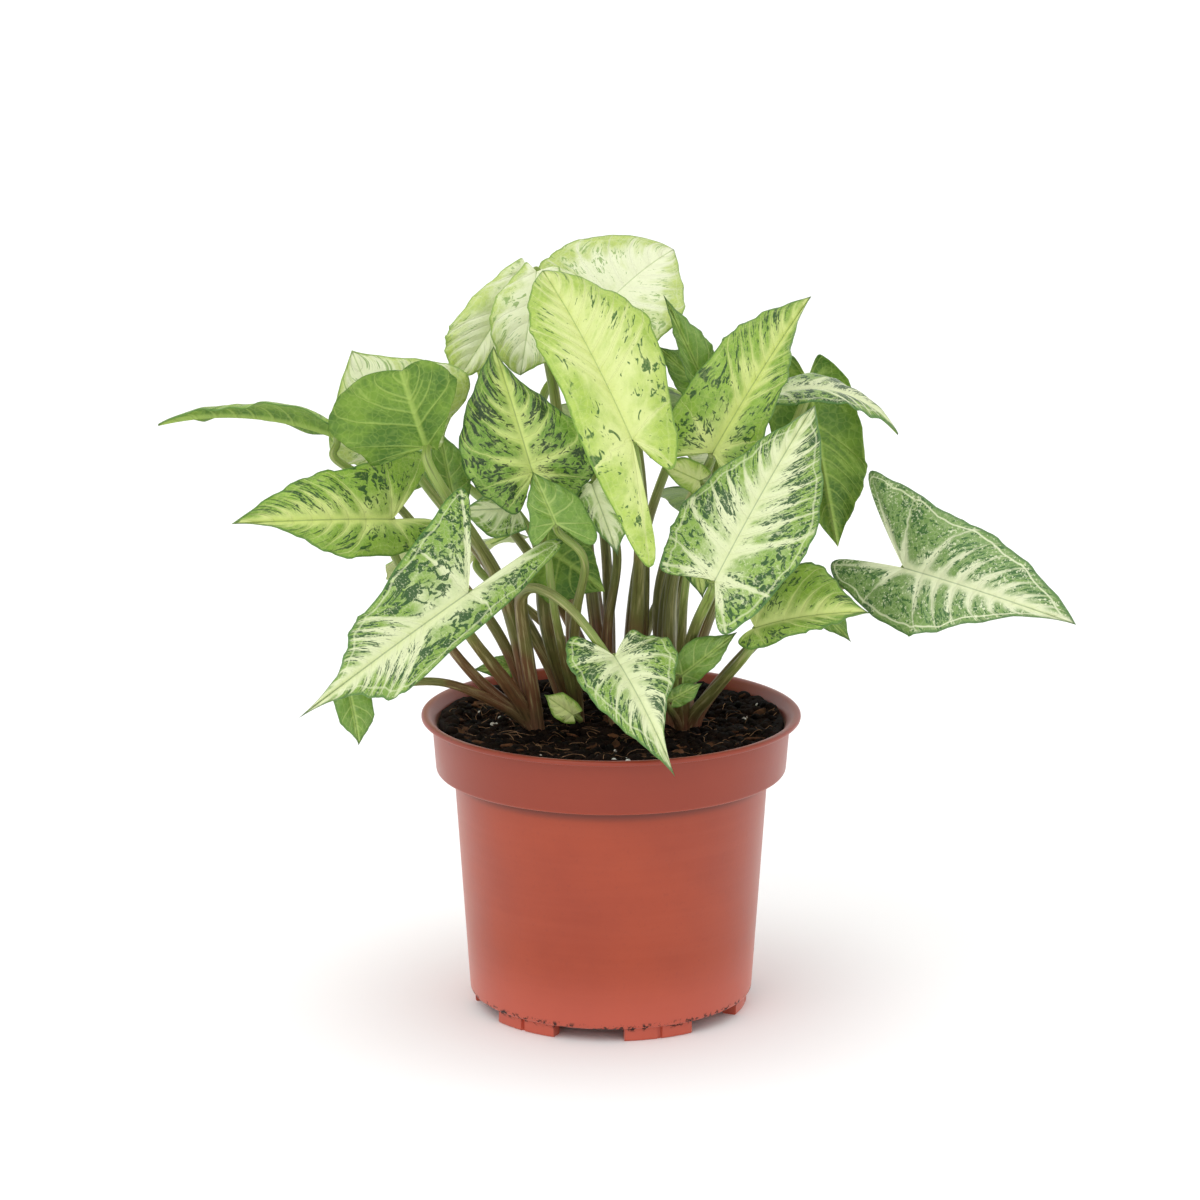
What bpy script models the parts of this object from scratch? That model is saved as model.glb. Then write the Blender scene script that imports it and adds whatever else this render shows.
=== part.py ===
"""Arrowhead plant in its round plastic nursery pot.

Every leaf blade is one thin closed solid, the stalks of each cutting are one solid that stands in a plain hole
in the potting mix, and the pot is one moulding. Sizes are in millimetres and become metres when a mesh is made.
The pot's axis is the Z axis, its feet stand on Z = 0, and the front of the plant looks along -Y.
"""

import math
import random
from dataclasses import dataclass, field

import bmesh
import bpy
import numpy as np

MM = 0.001

# Pot, a standard 12 cm nursery pot.
POT_HEIGHT = 95.0
LIP_RADIUS = 60.0
LIP_THICKNESS = 1.6
WALL = 1.4
COLLAR_TOP_RADIUS = 56.7
COLLAR_BOTTOM_RADIUS = 55.4
COLLAR_BOTTOM = 76.7
BODY_TOP_RADIUS = 49.8
BODY_BOTTOM_RADIUS = 45.0
POT_SEGMENTS = 42
FOOT_HEIGHT = 4.3
FOOT_OUTER_RADIUS = 43.5
FOOT_WIDTH = 4.5
FOOT_COUNT = 6
FOOT_ARC_DEG = 30.0
FIRST_FOOT_DEG = -69.5
FOOT_STEPS = 5
FLOOR_EDGE = 1.3
DRAIN_RADIUS = 3.5
DRAIN_RING_RADIUS = 30.0

# Potting mix.
GAP = 0.3
SOIL_LEVEL = 88.0
SOIL_ROUGHNESS = 1.3
SOIL_RINGS = 7
SOIL_SEGMENTS = 40
SOIL_SEED = 12

# Cuttings: where each one is rooted, as x and y.
CROWNS = {
    "left": (-22.0, 2.0),
    "mid_left": (-10.0, 15.0),
    "mid": (5.0, 6.0),
    "right": (22.0, 4.0),
    "back": (2.0, 32.0),
}
CROWN_RADIUS = 8.0
CROWN_TOP_RADIUS = 6.0
CROWN_BOTTOM = 68.0
CROWN_TOP = 92.5
CROWN_SEGMENTS = 12
STALK_SIDES = 5
STALK_STEPS = 3
STALK_ROOT_Z = 78.0
STALK_COLLAR_Z = 91.0
STALK_ROOT_OFFSET = 2.5
STALK_SPREAD = 3.0
STALK_SPREAD_STEP = 0.3
STALK_SPREAD_MOST = 4.5
NECK_LENGTH = 8.0
NECK_SET_BACK = 3.0
END_RUN = 2.2
NECK_SET_FORWARD = -1.0
NECK_TIP_RISE = 0.2

# Blades.
BLADE = 0.85
BLADE_TO_STALK = 1.5
LARGE_STEPS = (6, 4, 3)
SMALL_STEPS = (4, 3, 2)
SMALL_BLADE_LENGTH = 30.0
ROWS = (0.0, 0.5, 1.0)
BULGE = 0.04
WAVE = 0.02
WAVE_TURNS = 2.2
WAVE_SHIFT = 1.7
SAME_POINT = 1e-6
MIDRIB_SHARE = 0.27

# Finishes, as colour, roughness.
FINISHES = {
    "cream": ((0.80, 0.86, 0.58), 0.45),
    "lime": ((0.62, 0.74, 0.30), 0.45),
    "speckled": ((0.48, 0.62, 0.24), 0.45),
    "mottled": ((0.36, 0.52, 0.18), 0.45),
    "panelled": ((0.42, 0.55, 0.26), 0.45),
    "veined": ((0.45, 0.56, 0.34), 0.45),
    "green": ((0.20, 0.36, 0.08), 0.45),
    "underside": ((0.26, 0.42, 0.10), 0.55),
    "stalk": ((0.16, 0.14, 0.06), 0.50),
    "terracotta_plastic": ((0.41, 0.09, 0.05), 0.45),
    "potting_mix": ((0.020, 0.012, 0.008), 0.95),
}


@dataclass
class Leaf:
    """One blade and its stalk.

    base is where the stalk joins and tip is the drip tip. facing is the way that the upper face looks. The other
    sizes lie in the blade's own plane, seen on the upper face with the tip up: left and right are the widest points,
    as the reach from the midrib and the level above the base, and the lobes are the ends of the two back lobes, as
    the reach from the midrib and the length behind the base. Pairs of shape numbers are for left and right.
    """

    name: str
    finish: str
    base: tuple
    tip: tuple
    facing: tuple
    left: tuple
    right: tuple
    left_lobe: tuple
    right_lobe: tuple
    crown: str
    via: list = field(default_factory=list)
    stalk: tuple = (1.9, 1.1)
    neck: float = NECK_LENGTH
    arch: float = 0.08
    fold: float = 0.1
    full: tuple = (0.2, 0.2)
    acute: tuple = (0.22, 0.22)
    lobe_width: tuple = (0.3, 0.3)
    belly: tuple = (1.0, 1.0)
    hug: tuple = (0.3, 0.3)
    phase: float = 0.0


LEAVES = [
    Leaf("leaf_top", "cream", (-2, 12, 223), (20, 34, 237), (0, -0.78, 0.62), (23, 3), (22, 8), (23, 8), (16, 10),
         "mid", [(10, 4, 130), (9, 8, 177), (0, 13, 210)], (2.2, 1.1), full=(0.4, 0.3), acute=(0.1, 0.2)),
    Leaf("leaf_top_left", "cream", (-26, 10, 234), (-48, -1, 201), (0.15, -0.94, 0.3), (9, 26), (11, 28), (5, 3),
         (4, 2), "mid_left", [(-12, 14, 127), (-17, 18, 191), (-24, 18, 222)], (2.2, 1.2),
         full=(0.35, 0.75), acute=(0.15, 0.1), belly=(1.0, 0.7)),
    Leaf("leaf_top_left_inner", "cream", (-23, -4, 236), (-28, -7, 204), (0, -0.99, 0.12), (12, 22), (12, 15),
         (7, 2), (4, 2), "mid", [(-6, 6, 126), (-10, 4, 187), (-18, 5, 224)], (2.0, 1.1),
         full=(0.4, 0.65), acute=(0.15, 0.05)),
    Leaf("leaf_front_centre", "lime", (6, -57, 194), (-21, -21, 239), (0.02, -0.77, 0.63), (14, 36), (20, 28),
         (12, 38), (8, 13), "mid", [(8, -4, 125), (9, -28, 162)], (2.4, 1.3), full=(0.7, 0.5), acute=(0.1, 0.1),
         lobe_width=(0.14, 0.35), belly=(0.5, 0.4)),
    Leaf("leaf_front_left", "mottled", (-24, -30, 178), (-36, -17, 215), (0, -0.91, 0.42), (20, 9), (20, 1),
         (11, 9), (8, 12), "mid_left", [(-22, -4, 129), (-20, -15, 156)], (2.4, 1.2),
         full=(0.3, 0.0), acute=(0.15, 0.35), lobe_width=(0.5, 0.3)),
    Leaf("leaf_under_front_left", "panelled", (-29, -20, 165), (-47, -20, 164), (0, -0.96, 0.27), (9, 7), (5, 7),
         (7, 2), (4, 3), "mid_left", [(-20, 2, 127), (-23, -10, 152)], (1.6, 1.0)),
    Leaf("leaf_under_centre", "panelled", (-6, -27, 174), (2, -34, 153), (0, -0.95, 0.3), (8, 14), (5, 9), (6, 2),
         (5, 2), "mid", [(-2, 2, 120), (3, -8, 149)], (1.8, 1.0)),
    Leaf("leaf_far_left", "underside", (-84, -20, 188), (-138, -28, 193), (0.1, 0.36, 0.93), (13, 24), (13, 26),
         (5, 4), (5, 4), "left", [(-34, -4, 120), (-52, -12, 146), (-70, -16, 170)], (1.6, 1.1),
         full=(0.3, 0.4)),
    Leaf("leaf_left_round", "underside", (-56, -34, 187), (-63, -42, 212), (0, 0.97, 0.26), (15, 19), (27, 13),
         (3, 1.5), (19, 2), "left", [(-32, -12, 135), (-45, -33, 163)], (2.6, 1.2), arch=-0.05,
         full=(0.65, 0.65), acute=(-0.18, -0.18), lobe_width=(0.5, 0.2), belly=(0.2, 0.8)),
    Leaf("leaf_left_cream", "cream", (-67, -8, 183), (-80, -8, 212), (0, -1, 0), (19, 4), (30, 11), (13, 3),
         (14, 6), "mid_left", [(-23, 14, 114), (-44, 4, 149), (-58, -1, 168)], (1.9, 1.1), full=(0.35, 0.3)),
    Leaf("leaf_left_inner", "underside", (-50, 11, 163), (-54, 14, 183), (0, -0.99, 0.13), (7, 9), (7, 9),
         (4, 2), (5, 2), "mid_left", [(-26, 16, 120), (-42, 18, 144)], (1.6, 1.0)),
    Leaf("leaf_left_low", "speckled", (-67, -27, 163), (-114, -52, 167), (0.47, -0.83, 0.3), (12, 16), (15, 20),
         (3, 17), (20, 12), "left", [(-41, -12, 107), (-58, -22, 133)], (1.7, 1.1),
         full=(0.0, 0.5), acute=(0.35, 0.2)),
    Leaf("leaf_front_low_left", "panelled", (-43, -57, 147), (-92, -90, 117), (0.28, -0.84, 0.47), (13, 38),
         (13, 34), (4, 37), (27, 19), "left", [(-35, -14, 111), (-45, -34, 130)], (2.2, 1.2),
         full=(0.2, 0.15), acute=(0.35, 0.4), lobe_width=(0.15, 0.16), belly=(0.15, 0.25)),
    Leaf("leaf_under_low_left", "green", (-79, -62, 118), (-76, -66, 102), (0.17, -0.83, 0.53), (6, 8), (5, 8),
         (4, 3), (4, 3), "left", [(-44, -16, 106), (-58, -34, 114)], (1.5, 1.0), full=(0.4, 0.1)),
    Leaf("leaf_small_centre", "green", (-17, -42, 165), (-24, -37, 180), (0, -0.95, 0.31), (6, 7), (10, 2), (9, 3),
         (9, 10), "mid_left", [(-12, -18, 129), (-7, -31, 151)], (1.6, 1.0)),
    Leaf("leaf_shaded_centre", "underside", (-20, -19, 152), (-2, -17, 138), (0, 0.99, 0.15), (15, 12), (9, 8),
         (12, 4), (7, 4), "mid_left", [(-15, -12, 117), (-18, -28, 137)], (1.6, 1.0), full=(0.3, 0.3)),
    Leaf("leaf_over_rim", "panelled", (1, -44, 124), (19, -68, 93), (0, -0.8, 0.61), (17, 6), (14, 8), (10, 5),
         (11, 11), "left", [(-28, -18, 131), (-27, -27, 140), (-22, -34, 143), (-11, -40, 137)],
         (2.0, 1.1), arch=0.12, full=(0.0, 0.2), acute=(0.5, 0.2), lobe_width=(0.4, 0.4), belly=(1.2, 0.8)),
    Leaf("leaf_upper_right", "speckled", (31, -23, 183), (62, 4, 227), (0, -0.86, 0.51), (15, 30), (9, 26),
         (16, 11), (12, 5), "right", [(18, 0, 131), (24, -8, 164)], (2.2, 1.2), full=(0.55, 0.1),
         acute=(0.22, 0.35), lobe_width=(0.1, 0.4), belly=(0.5, 0.8)),
    Leaf("leaf_right_level", "panelled", (50, 8, 195), (90, 8, 183), (0, -0.1, 1), (15, 17), (13, 20), (8, 6),
         (8, 5), "right", [(14, 14, 127), (25, 14, 160), (42, 12, 187)], (2.0, 1.2), arch=0.16, fold=0.02,
         full=(0.4, 0.2)),
    Leaf("leaf_front_right", "panelled", (31, -54, 150), (62, -24, 198), (0, -0.85, 0.53), (19, 12), (21, 20),
         (17, 3), (11, 13), "right", [(24, -14, 120)], (2.2, 1.3), full=(0.15, 0.35), acute=(0.2, 0.15),
         lobe_width=(0.3, 0.3), belly=(1.0, 0.4)),
    Leaf("leaf_low_right", "speckled", (44, -32, 130), (78, -45, 138), (-0.4, -0.69, 0.6), (17, 20), (6, 18),
         (12, 3), (5, 5), "right", [(32, -10, 104), (41, -26, 119)], (1.8, 1.1), full=(0.3, 0.3),
         lobe_width=(0.3, 0.4)),
    Leaf("leaf_under_low_right", "green", (59, -5, 135), (75, -10, 120), (0, -0.95, 0.32), (7, 11), (4, 10),
         (4, 4), (4, 3), "right", [(35, 4, 104), (53, 2, 124)], (1.5, 1.0)),
    Leaf("leaf_behind_front_right", "mottled", (25, -27, 154), (28, -31, 139), (0, -0.97, 0.26), (6, 8), (5, 5),
         (4, 2), (4, 2), "right", [(22, -8, 120), (23, -20, 142)], (1.5, 1.0)),
    Leaf("leaf_far_right", "veined", (91, -11, 144), (141, -44, 134), (-0.44, -0.79, 0.42), (19, 16), (20, 12),
         (26, 24), (6, 26), "right", [(32, 4, 100), (50, 8, 120), (76, 9, 136)], (2.0, 1.2),
         full=(0.45, 0.08), acute=(0.12, 0.4), lobe_width=(0.12, 0.16), belly=(0.25, 0.6), hug=(0.3, 0.12)),
    Leaf("leaf_right_hanging", "underside", (63, 40, 194), (74, 51, 137), (0, 0.98, 0.19), (15, 24), (14, 30),
         (5, 9), (6, 7), "right", [(28, 20, 113), (48, 36, 155)], (2.0, 1.2), arch=-0.05, full=(0.4, 0.4)),
    Leaf("leaf_young_upright", "green", (32, -3, 194), (16, 2, 228), (0, -0.99, 0.13), (4, 12), (7, 16), (4, 2),
         (4, 3), "right", [(16, 6, 129), (28, 6, 168)], (1.7, 1.0), full=(0.2, 0.2)),
    Leaf("leaf_young_green", "green", (32, 11, 194), (14, 13, 210), (0, -0.99, 0.13), (6, 8), (7, 12), (5, 2),
         (4, 3), "right", [(19, 12, 128), (30, 16, 169)], (1.7, 1.0)),
    Leaf("leaf_young_cream", "cream", (32, 0, 177), (19, 2, 193), (0, -0.99, 0.12), (6, 11), (7, 12), (5, 2),
         (4, 3), "right", [(20, 4, 130), (30, 2, 162)], (1.6, 1.0)),
    Leaf("leaf_young_lime", "lime", (27, -22, 174), (14, -21, 180), (0, -0.99, 0.12), (4, 4), (5, 6), (4, 2),
         (4, 2), "right", [(18, -6, 132), (25, -15, 159)], (1.6, 1.0)),
    Leaf("leaf_soil_lime", "lime", (-12, -12, 97), (-21, -10, 103), (0, -0.96, 0.27), (4, 4), (4, 6), (2, 2),
         (3, 1.5), "mid_left", [(-12, -2, 95)], (1.2, 0.8)),
    Leaf("leaf_soil_left", "green", (-27, 2, 109), (-44, 2, 108), (0, -0.98, 0.2), (3, 8), (4, 8), (1.5, 2),
         (3, 2), "left", [(-24, 2, 104)], (1.3, 0.8)),
    Leaf("leaf_soil_right", "green", (22, -28, 114), (39, -25, 127), (0, -0.98, 0.18), (7, 8), (4, 9), (3, 2),
         (3, 2), "right", [], (1.3, 0.8)),
    Leaf("leaf_soil_right_small", "green", (19, -35, 108), (28, -34, 113), (0, -0.97, 0.22), (3, 4), (3, 5),
         (2, 1.5), (2, 1.5), "right", [], (1.2, 0.8)),
    Leaf("leaf_back_centre", "lime", (-8, 40, 182), (-36, 89, 150), (-0.11, 0.5, 0.86), (22, 23), (24, 28),
         (16, 12), (12, 14), "back", [(-1, 30, 140)]),
    Leaf("leaf_back_right_high", "speckled", (24, 43, 188), (40, 90, 158), (0, 0.54, 0.84), (21, 28), (20, 24),
         (8, 18), (16, 18), "back", [(9, 33, 142)]),
    Leaf("leaf_back_right_low", "panelled", (32, 50, 154), (52, 90, 124), (0.02, 0.59, 0.81), (19, 26), (18, 24),
         (8, 15), (15, 9), "back", [(14, 38, 120)]),
    Leaf("leaf_back_left_high", "speckled", (-48, 40, 168), (-76, 81, 144), (-0.15, 0.42, 0.89), (20, 18),
         (22, 26), (16, 15), (9, 14), "back", [(-18, 26, 128), (-36, 24, 154)]),
    Leaf("leaf_back_left_low", "lime", (-44, 40, 138), (-70, 86, 106), (-0.29, 0.43, 0.85), (20, 21), (22, 30),
         (16, 17), (10, 14), "back", [(-18, 37, 112)]),
    Leaf("leaf_back_top", "cream", (-16, 39, 206), (-44, 86, 186), (-0.31, 0.21, 0.93), (22, 23), (21, 26),
         (14, 11), (8, 15), "back", [(-8, 24, 150), (-24, 21, 188)]),
]


def clear_scene():
    """Removes what the open file holds, so that the script can be run again."""
    for old in list(bpy.data.objects):
        bpy.data.objects.remove(old)


def finish_material(name):
    """Returns the plain material of one finish."""
    old = bpy.data.materials.get(name)
    if old:
        return old
    colour, roughness = FINISHES[name]
    material = bpy.data.materials.new(name)
    material.use_nodes = True
    shader = material.node_tree.nodes["Principled BSDF"]
    shader.inputs["Base Color"].default_value = (*colour, 1.0)
    shader.inputs["Roughness"].default_value = roughness
    material.diffuse_color = (*colour, 1.0)
    return material


def add_object(name, mesh, finish, smooth_deg=40.0):
    """Puts a mesh in the scene as one named object with its finish."""
    mesh.materials.append(finish_material(finish))
    mesh.shade_smooth()
    mesh.set_sharp_from_angle(angle=math.radians(smooth_deg))
    item = bpy.data.objects.new(name, mesh)
    bpy.context.scene.collection.objects.link(item)
    return item


def mesh_from(name, points_mm, faces):
    """Makes a mesh from points in millimetres, with its faces turned outward."""
    mesh = bpy.data.meshes.new(name)
    mesh.from_pydata([tuple(float(c) * MM for c in p) for p in points_mm], [], faces)
    shape = bmesh.new()
    shape.from_mesh(mesh)
    bmesh.ops.recalc_face_normals(shape, faces=shape.faces)
    shape.to_mesh(mesh)
    shape.free()
    return mesh


def fuse(items, name, operation="UNION"):
    """Joins objects in one solid by one Boolean on a collection, or cuts all but the first from the first."""
    body = items[0]
    others = bpy.data.collections.new(name + "_pieces")
    for item in items[1:]:
        others.objects.link(item)
    boolean = body.modifiers.new("fuse", "BOOLEAN")
    boolean.operation = operation
    boolean.operand_type = "COLLECTION"
    boolean.collection = others
    bpy.context.view_layer.update()
    graph = bpy.context.evaluated_depsgraph_get()
    mesh = bpy.data.meshes.new_from_object(body.evaluated_get(graph))
    body.modifiers.remove(boolean)
    body.data = mesh
    for item in items[1:]:
        bpy.data.objects.remove(item)
    bpy.data.collections.remove(others)
    body.name = name
    return body


def unit(v):
    """Returns a vector of length 1."""
    v = np.asarray(v, float)
    return v / np.linalg.norm(v)


def bezier(p0, p1, p2, p3, steps):
    """Returns points along a cubic curve, both ends included."""
    t = np.linspace(0.0, 1.0, steps + 1)[:, None]
    s = 1.0 - t
    return s**3 * p0 + 3 * s * s * t * p1 + 3 * s * t * t * p2 + t**3 * p3


def turned(name, profile, finish, segments=POT_SEGMENTS):
    """Turns a closed (radius, height) profile about Z; its first and last points lie on the axis."""
    points = [(0.0, 0.0, profile[0][1]), (0.0, 0.0, profile[-1][1])]
    rings = []
    for radius, height in profile[1:-1]:
        start = len(points)
        for k in range(segments):
            a = math.tau * k / segments
            points.append((radius * math.cos(a), radius * math.sin(a), height))
        rings.append([start + k for k in range(segments)])
    faces = []
    for k in range(segments):
        nxt = (k + 1) % segments
        faces.append((0, rings[0][nxt], rings[0][k]))
        faces.append((1, rings[-1][k], rings[-1][nxt]))
        for low, high in zip(rings, rings[1:]):
            faces.append((low[k], low[nxt], high[nxt], high[k]))
    return add_object(name, mesh_from(name, points, faces), finish)


def inner_body_radius(height):
    """Returns the pot's inside radius below the shelf at a height."""
    share = (height - FOOT_HEIGHT) / (COLLAR_BOTTOM - FOOT_HEIGHT)
    return BODY_BOTTOM_RADIUS + (BODY_TOP_RADIUS - BODY_BOTTOM_RADIUS) * share - WALL


def inner_collar_radius(height):
    """Returns the pot's inside radius above the shelf at a height."""
    share = (height - COLLAR_BOTTOM) / (POT_HEIGHT - COLLAR_BOTTOM)
    return COLLAR_BOTTOM_RADIUS + (COLLAR_TOP_RADIUS - COLLAR_BOTTOM_RADIUS) * share - WALL


def pot_foot(centre_deg):
    """Makes one moulded foot, an arc that reaches up into the pot's floor."""
    inner = FOOT_OUTER_RADIUS - FOOT_WIDTH
    top = FOOT_HEIGHT + WALL / 2
    points = []
    for i in range(FOOT_STEPS + 1):
        a = math.radians(centre_deg + FOOT_ARC_DEG * (i / FOOT_STEPS - 0.5))
        for radius, height in ((inner, 0.0), (FOOT_OUTER_RADIUS, 0.0), (FOOT_OUTER_RADIUS, top), (inner, top)):
            points.append((radius * math.cos(a), radius * math.sin(a), height))
    faces = [(0, 1, 2, 3), tuple(4 * FOOT_STEPS + k for k in (3, 2, 1, 0))]
    for i in range(FOOT_STEPS):
        for k in range(4):
            nxt = (k + 1) % 4
            faces.append((4 * i + k, 4 * i + 4 + k, 4 * i + 4 + nxt, 4 * i + nxt))
    return add_object("foot", mesh_from("foot", points, faces), "terracotta_plastic")


def drain_cutter(angle_deg):
    """Makes the cutter of one drainage hole in the floor."""
    a = math.radians(angle_deg)
    shape = bmesh.new()
    bmesh.ops.create_cone(shape, cap_ends=True, segments=12, radius1=DRAIN_RADIUS * MM, radius2=DRAIN_RADIUS * MM,
                          depth=4 * WALL * MM)
    mesh = bpy.data.meshes.new("drain")
    shape.to_mesh(mesh)
    shape.free()
    item = bpy.data.objects.new("drain", mesh)
    item.location = (DRAIN_RING_RADIUS * math.cos(a) * MM, DRAIN_RING_RADIUS * math.sin(a) * MM, FOOT_HEIGHT * MM)
    item.hide_render = True
    item.display_type = "WIRE"
    bpy.context.scene.collection.objects.link(item)
    return item


def make_pot():
    """Makes the pot: turned body with shelf, collar and flared lip, six feet, and a drainage hole between feet."""
    floor_top = FOOT_HEIGHT + WALL
    shelf_top = COLLAR_BOTTOM + WALL
    lip_under = POT_HEIGHT - LIP_THICKNESS
    profile = [
        (0.0, FOOT_HEIGHT),
        (BODY_BOTTOM_RADIUS - FLOOR_EDGE, FOOT_HEIGHT),
        (BODY_BOTTOM_RADIUS, FOOT_HEIGHT + FLOOR_EDGE),
        (BODY_TOP_RADIUS, COLLAR_BOTTOM),
        (COLLAR_BOTTOM_RADIUS, COLLAR_BOTTOM),
        (COLLAR_TOP_RADIUS, lip_under),
        (LIP_RADIUS, lip_under + LIP_THICKNESS / 4),
        (LIP_RADIUS, POT_HEIGHT),
        (inner_collar_radius(POT_HEIGHT), POT_HEIGHT),
        (inner_collar_radius(shelf_top), shelf_top),
        (inner_body_radius(shelf_top), shelf_top),
        (inner_body_radius(floor_top), floor_top),
        (0.0, floor_top),
    ]
    body = turned("pot", profile, "terracotta_plastic")
    feet_deg = [FIRST_FOOT_DEG + 360.0 / FOOT_COUNT * k for k in range(FOOT_COUNT)]
    pot = fuse([body] + [pot_foot(a) for a in feet_deg], "pot")
    half_step = 180.0 / FOOT_COUNT
    return fuse([pot] + [drain_cutter(a + half_step) for a in feet_deg], "pot", "DIFFERENCE")


def crown_cutter(place):
    """Makes the cutter of the plain hole that a cutting's crown stands in."""
    shape = bmesh.new()
    radius = (CROWN_RADIUS + GAP) / math.cos(math.pi / CROWN_SEGMENTS) * MM
    depth = 2 * (SOIL_LEVEL - CROWN_BOTTOM + GAP) * MM
    bmesh.ops.create_cone(shape, cap_ends=True, segments=CROWN_SEGMENTS, radius1=radius, radius2=radius, depth=depth)
    mesh = bpy.data.meshes.new("crown_hole")
    shape.to_mesh(mesh)
    shape.free()
    item = bpy.data.objects.new("crown_hole", mesh)
    item.location = (place[0] * MM, place[1] * MM, SOIL_LEVEL * MM)
    item.hide_render = True
    item.display_type = "WIRE"
    bpy.context.scene.collection.objects.link(item)
    return item


def make_soil():
    """Makes the potting mix: it fills the pot, its top is uneven, and each crown has its hole."""
    draw = random.Random(SOIL_SEED)
    floor = FOOT_HEIGHT + WALL + GAP
    shelf = COLLAR_BOTTOM + WALL + GAP
    edge = inner_collar_radius(SOIL_LEVEL) - GAP
    sides = [
        (inner_body_radius(floor) - GAP, floor),
        (inner_body_radius(shelf) - GAP, shelf),
        (inner_collar_radius(shelf) - GAP, shelf),
        (edge, SOIL_LEVEL),
    ]
    rings = [[(r, h)] * SOIL_SEGMENTS for r, h in sides]
    for i in range(1, SOIL_RINGS):
        radius = edge * (1.0 - i / SOIL_RINGS)
        rings.append([(radius, SOIL_LEVEL + draw.uniform(-SOIL_ROUGHNESS, SOIL_ROUGHNESS / 3))
                      for k in range(SOIL_SEGMENTS)])
    points = [(0.0, 0.0, floor), (0.0, 0.0, SOIL_LEVEL)]
    for ring in rings:
        for k, (radius, height) in enumerate(ring):
            a = math.tau * k / SOIL_SEGMENTS
            points.append((radius * math.cos(a), radius * math.sin(a), height))
    faces = []
    for k in range(SOIL_SEGMENTS):
        nxt = (k + 1) % SOIL_SEGMENTS
        faces.append((0, 2 + nxt, 2 + k))
        last = 2 + (len(rings) - 1) * SOIL_SEGMENTS
        faces.append((1, last + k, last + nxt))
        for i in range(len(rings) - 1):
            low = 2 + i * SOIL_SEGMENTS
            high = low + SOIL_SEGMENTS
            faces.append((low + k, low + nxt, high + nxt))
            faces.append((low + k, high + nxt, high + k))
    soil = add_object("potting_mix", mesh_from("potting_mix", points, faces), "potting_mix")
    return fuse([soil] + [crown_cutter(place) for place in CROWNS.values()], "potting_mix", "DIFFERENCE")


def blade_axes(leaf):
    """Returns a blade's unit directions: across to its right, along to its tip, and up from its upper face."""
    along = unit(np.subtract(leaf.tip, leaf.base))
    facing = np.array(leaf.facing, float)
    upper = unit(facing - along * (facing @ along))
    return np.cross(along, upper), along, upper


def half_outline(leaf, side, steps):
    """Returns one half's flat edge from the tip round the lobe to the sinus, as reach and level, and the share of
    the midrib that each edge point faces."""
    length = np.linalg.norm(np.subtract(leaf.tip, leaf.base))
    base = np.zeros(2)
    tip = np.array((0.0, length))
    widest = np.array((leaf.left, leaf.right)[side], float)
    lobe_end = np.array((leaf.left_lobe, leaf.right_lobe)[side], float) * (1, -1)
    reach = np.array((widest[0], 0.0))
    lobe_way = unit(lobe_end)
    outward = unit(reach - lobe_way * (reach @ lobe_way))
    width = leaf.lobe_width[side] * np.linalg.norm(lobe_end)
    span = np.linalg.norm(lobe_end - widest)
    overhang = (widest - lobe_end) @ outward
    belly = leaf.belly[side]
    level = widest[1] / length
    tip_side = bezier(tip, tip * (1 - leaf.acute[side]) + reach * leaf.full[side],
                      widest + tip * leaf.hug[side] * (1 - level) + reach * 0.02, widest, steps[0])
    lobe_side = bezier(widest, widest - (0.0, span * 0.4 * belly),
                       lobe_end + outward * max(width * 0.8, 0.45 * belly * overhang), lobe_end, steps[1])
    inner_side = bezier(lobe_end, lobe_end - outward * width * 0.9, lobe_end * 0.45 - outward * width * 0.25,
                        base, steps[2])
    edge = np.vstack([tip_side, lobe_side[1:], inner_side[1:]])
    half_lobe = max(1, steps[1] // 2)
    shares = np.zeros(len(edge))
    faced = MIDRIB_SHARE * (leaf.left[1] + leaf.right[1]) / length
    shares[: steps[0] + 1] = np.linspace(1.0, faced, steps[0] + 1)
    shares[steps[0]: steps[0] + half_lobe + 1] = np.linspace(faced, 0.0, half_lobe + 1)
    return edge, shares


def blade_point(leaf, side, flat, r, t):
    """Returns the place of a flat blade point: r runs from midrib to edge and t from tip to sinus."""
    across, along, upper = blade_axes(leaf)
    length = np.linalg.norm(np.subtract(leaf.tip, leaf.base))
    level = flat[1] / length
    window = math.sin(math.pi * t) ** 0.6 if 0 < t < 1 else 0.0
    lift = leaf.arch * length * 4 * level * (1 - level) if level > 0 else leaf.arch * length * 2 * level
    lift += leaf.fold * flat[0]
    lift += BULGE * length * 4 * r * (1 - r) * window
    lift += WAVE * length * r**1.5 * window * math.sin(math.tau * WAVE_TURNS * t + leaf.phase + WAVE_SHIFT * side)
    sign = 1.0 if side else -1.0
    return np.array(leaf.base, float) + across * flat[0] * sign + along * flat[1] + upper * lift


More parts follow.
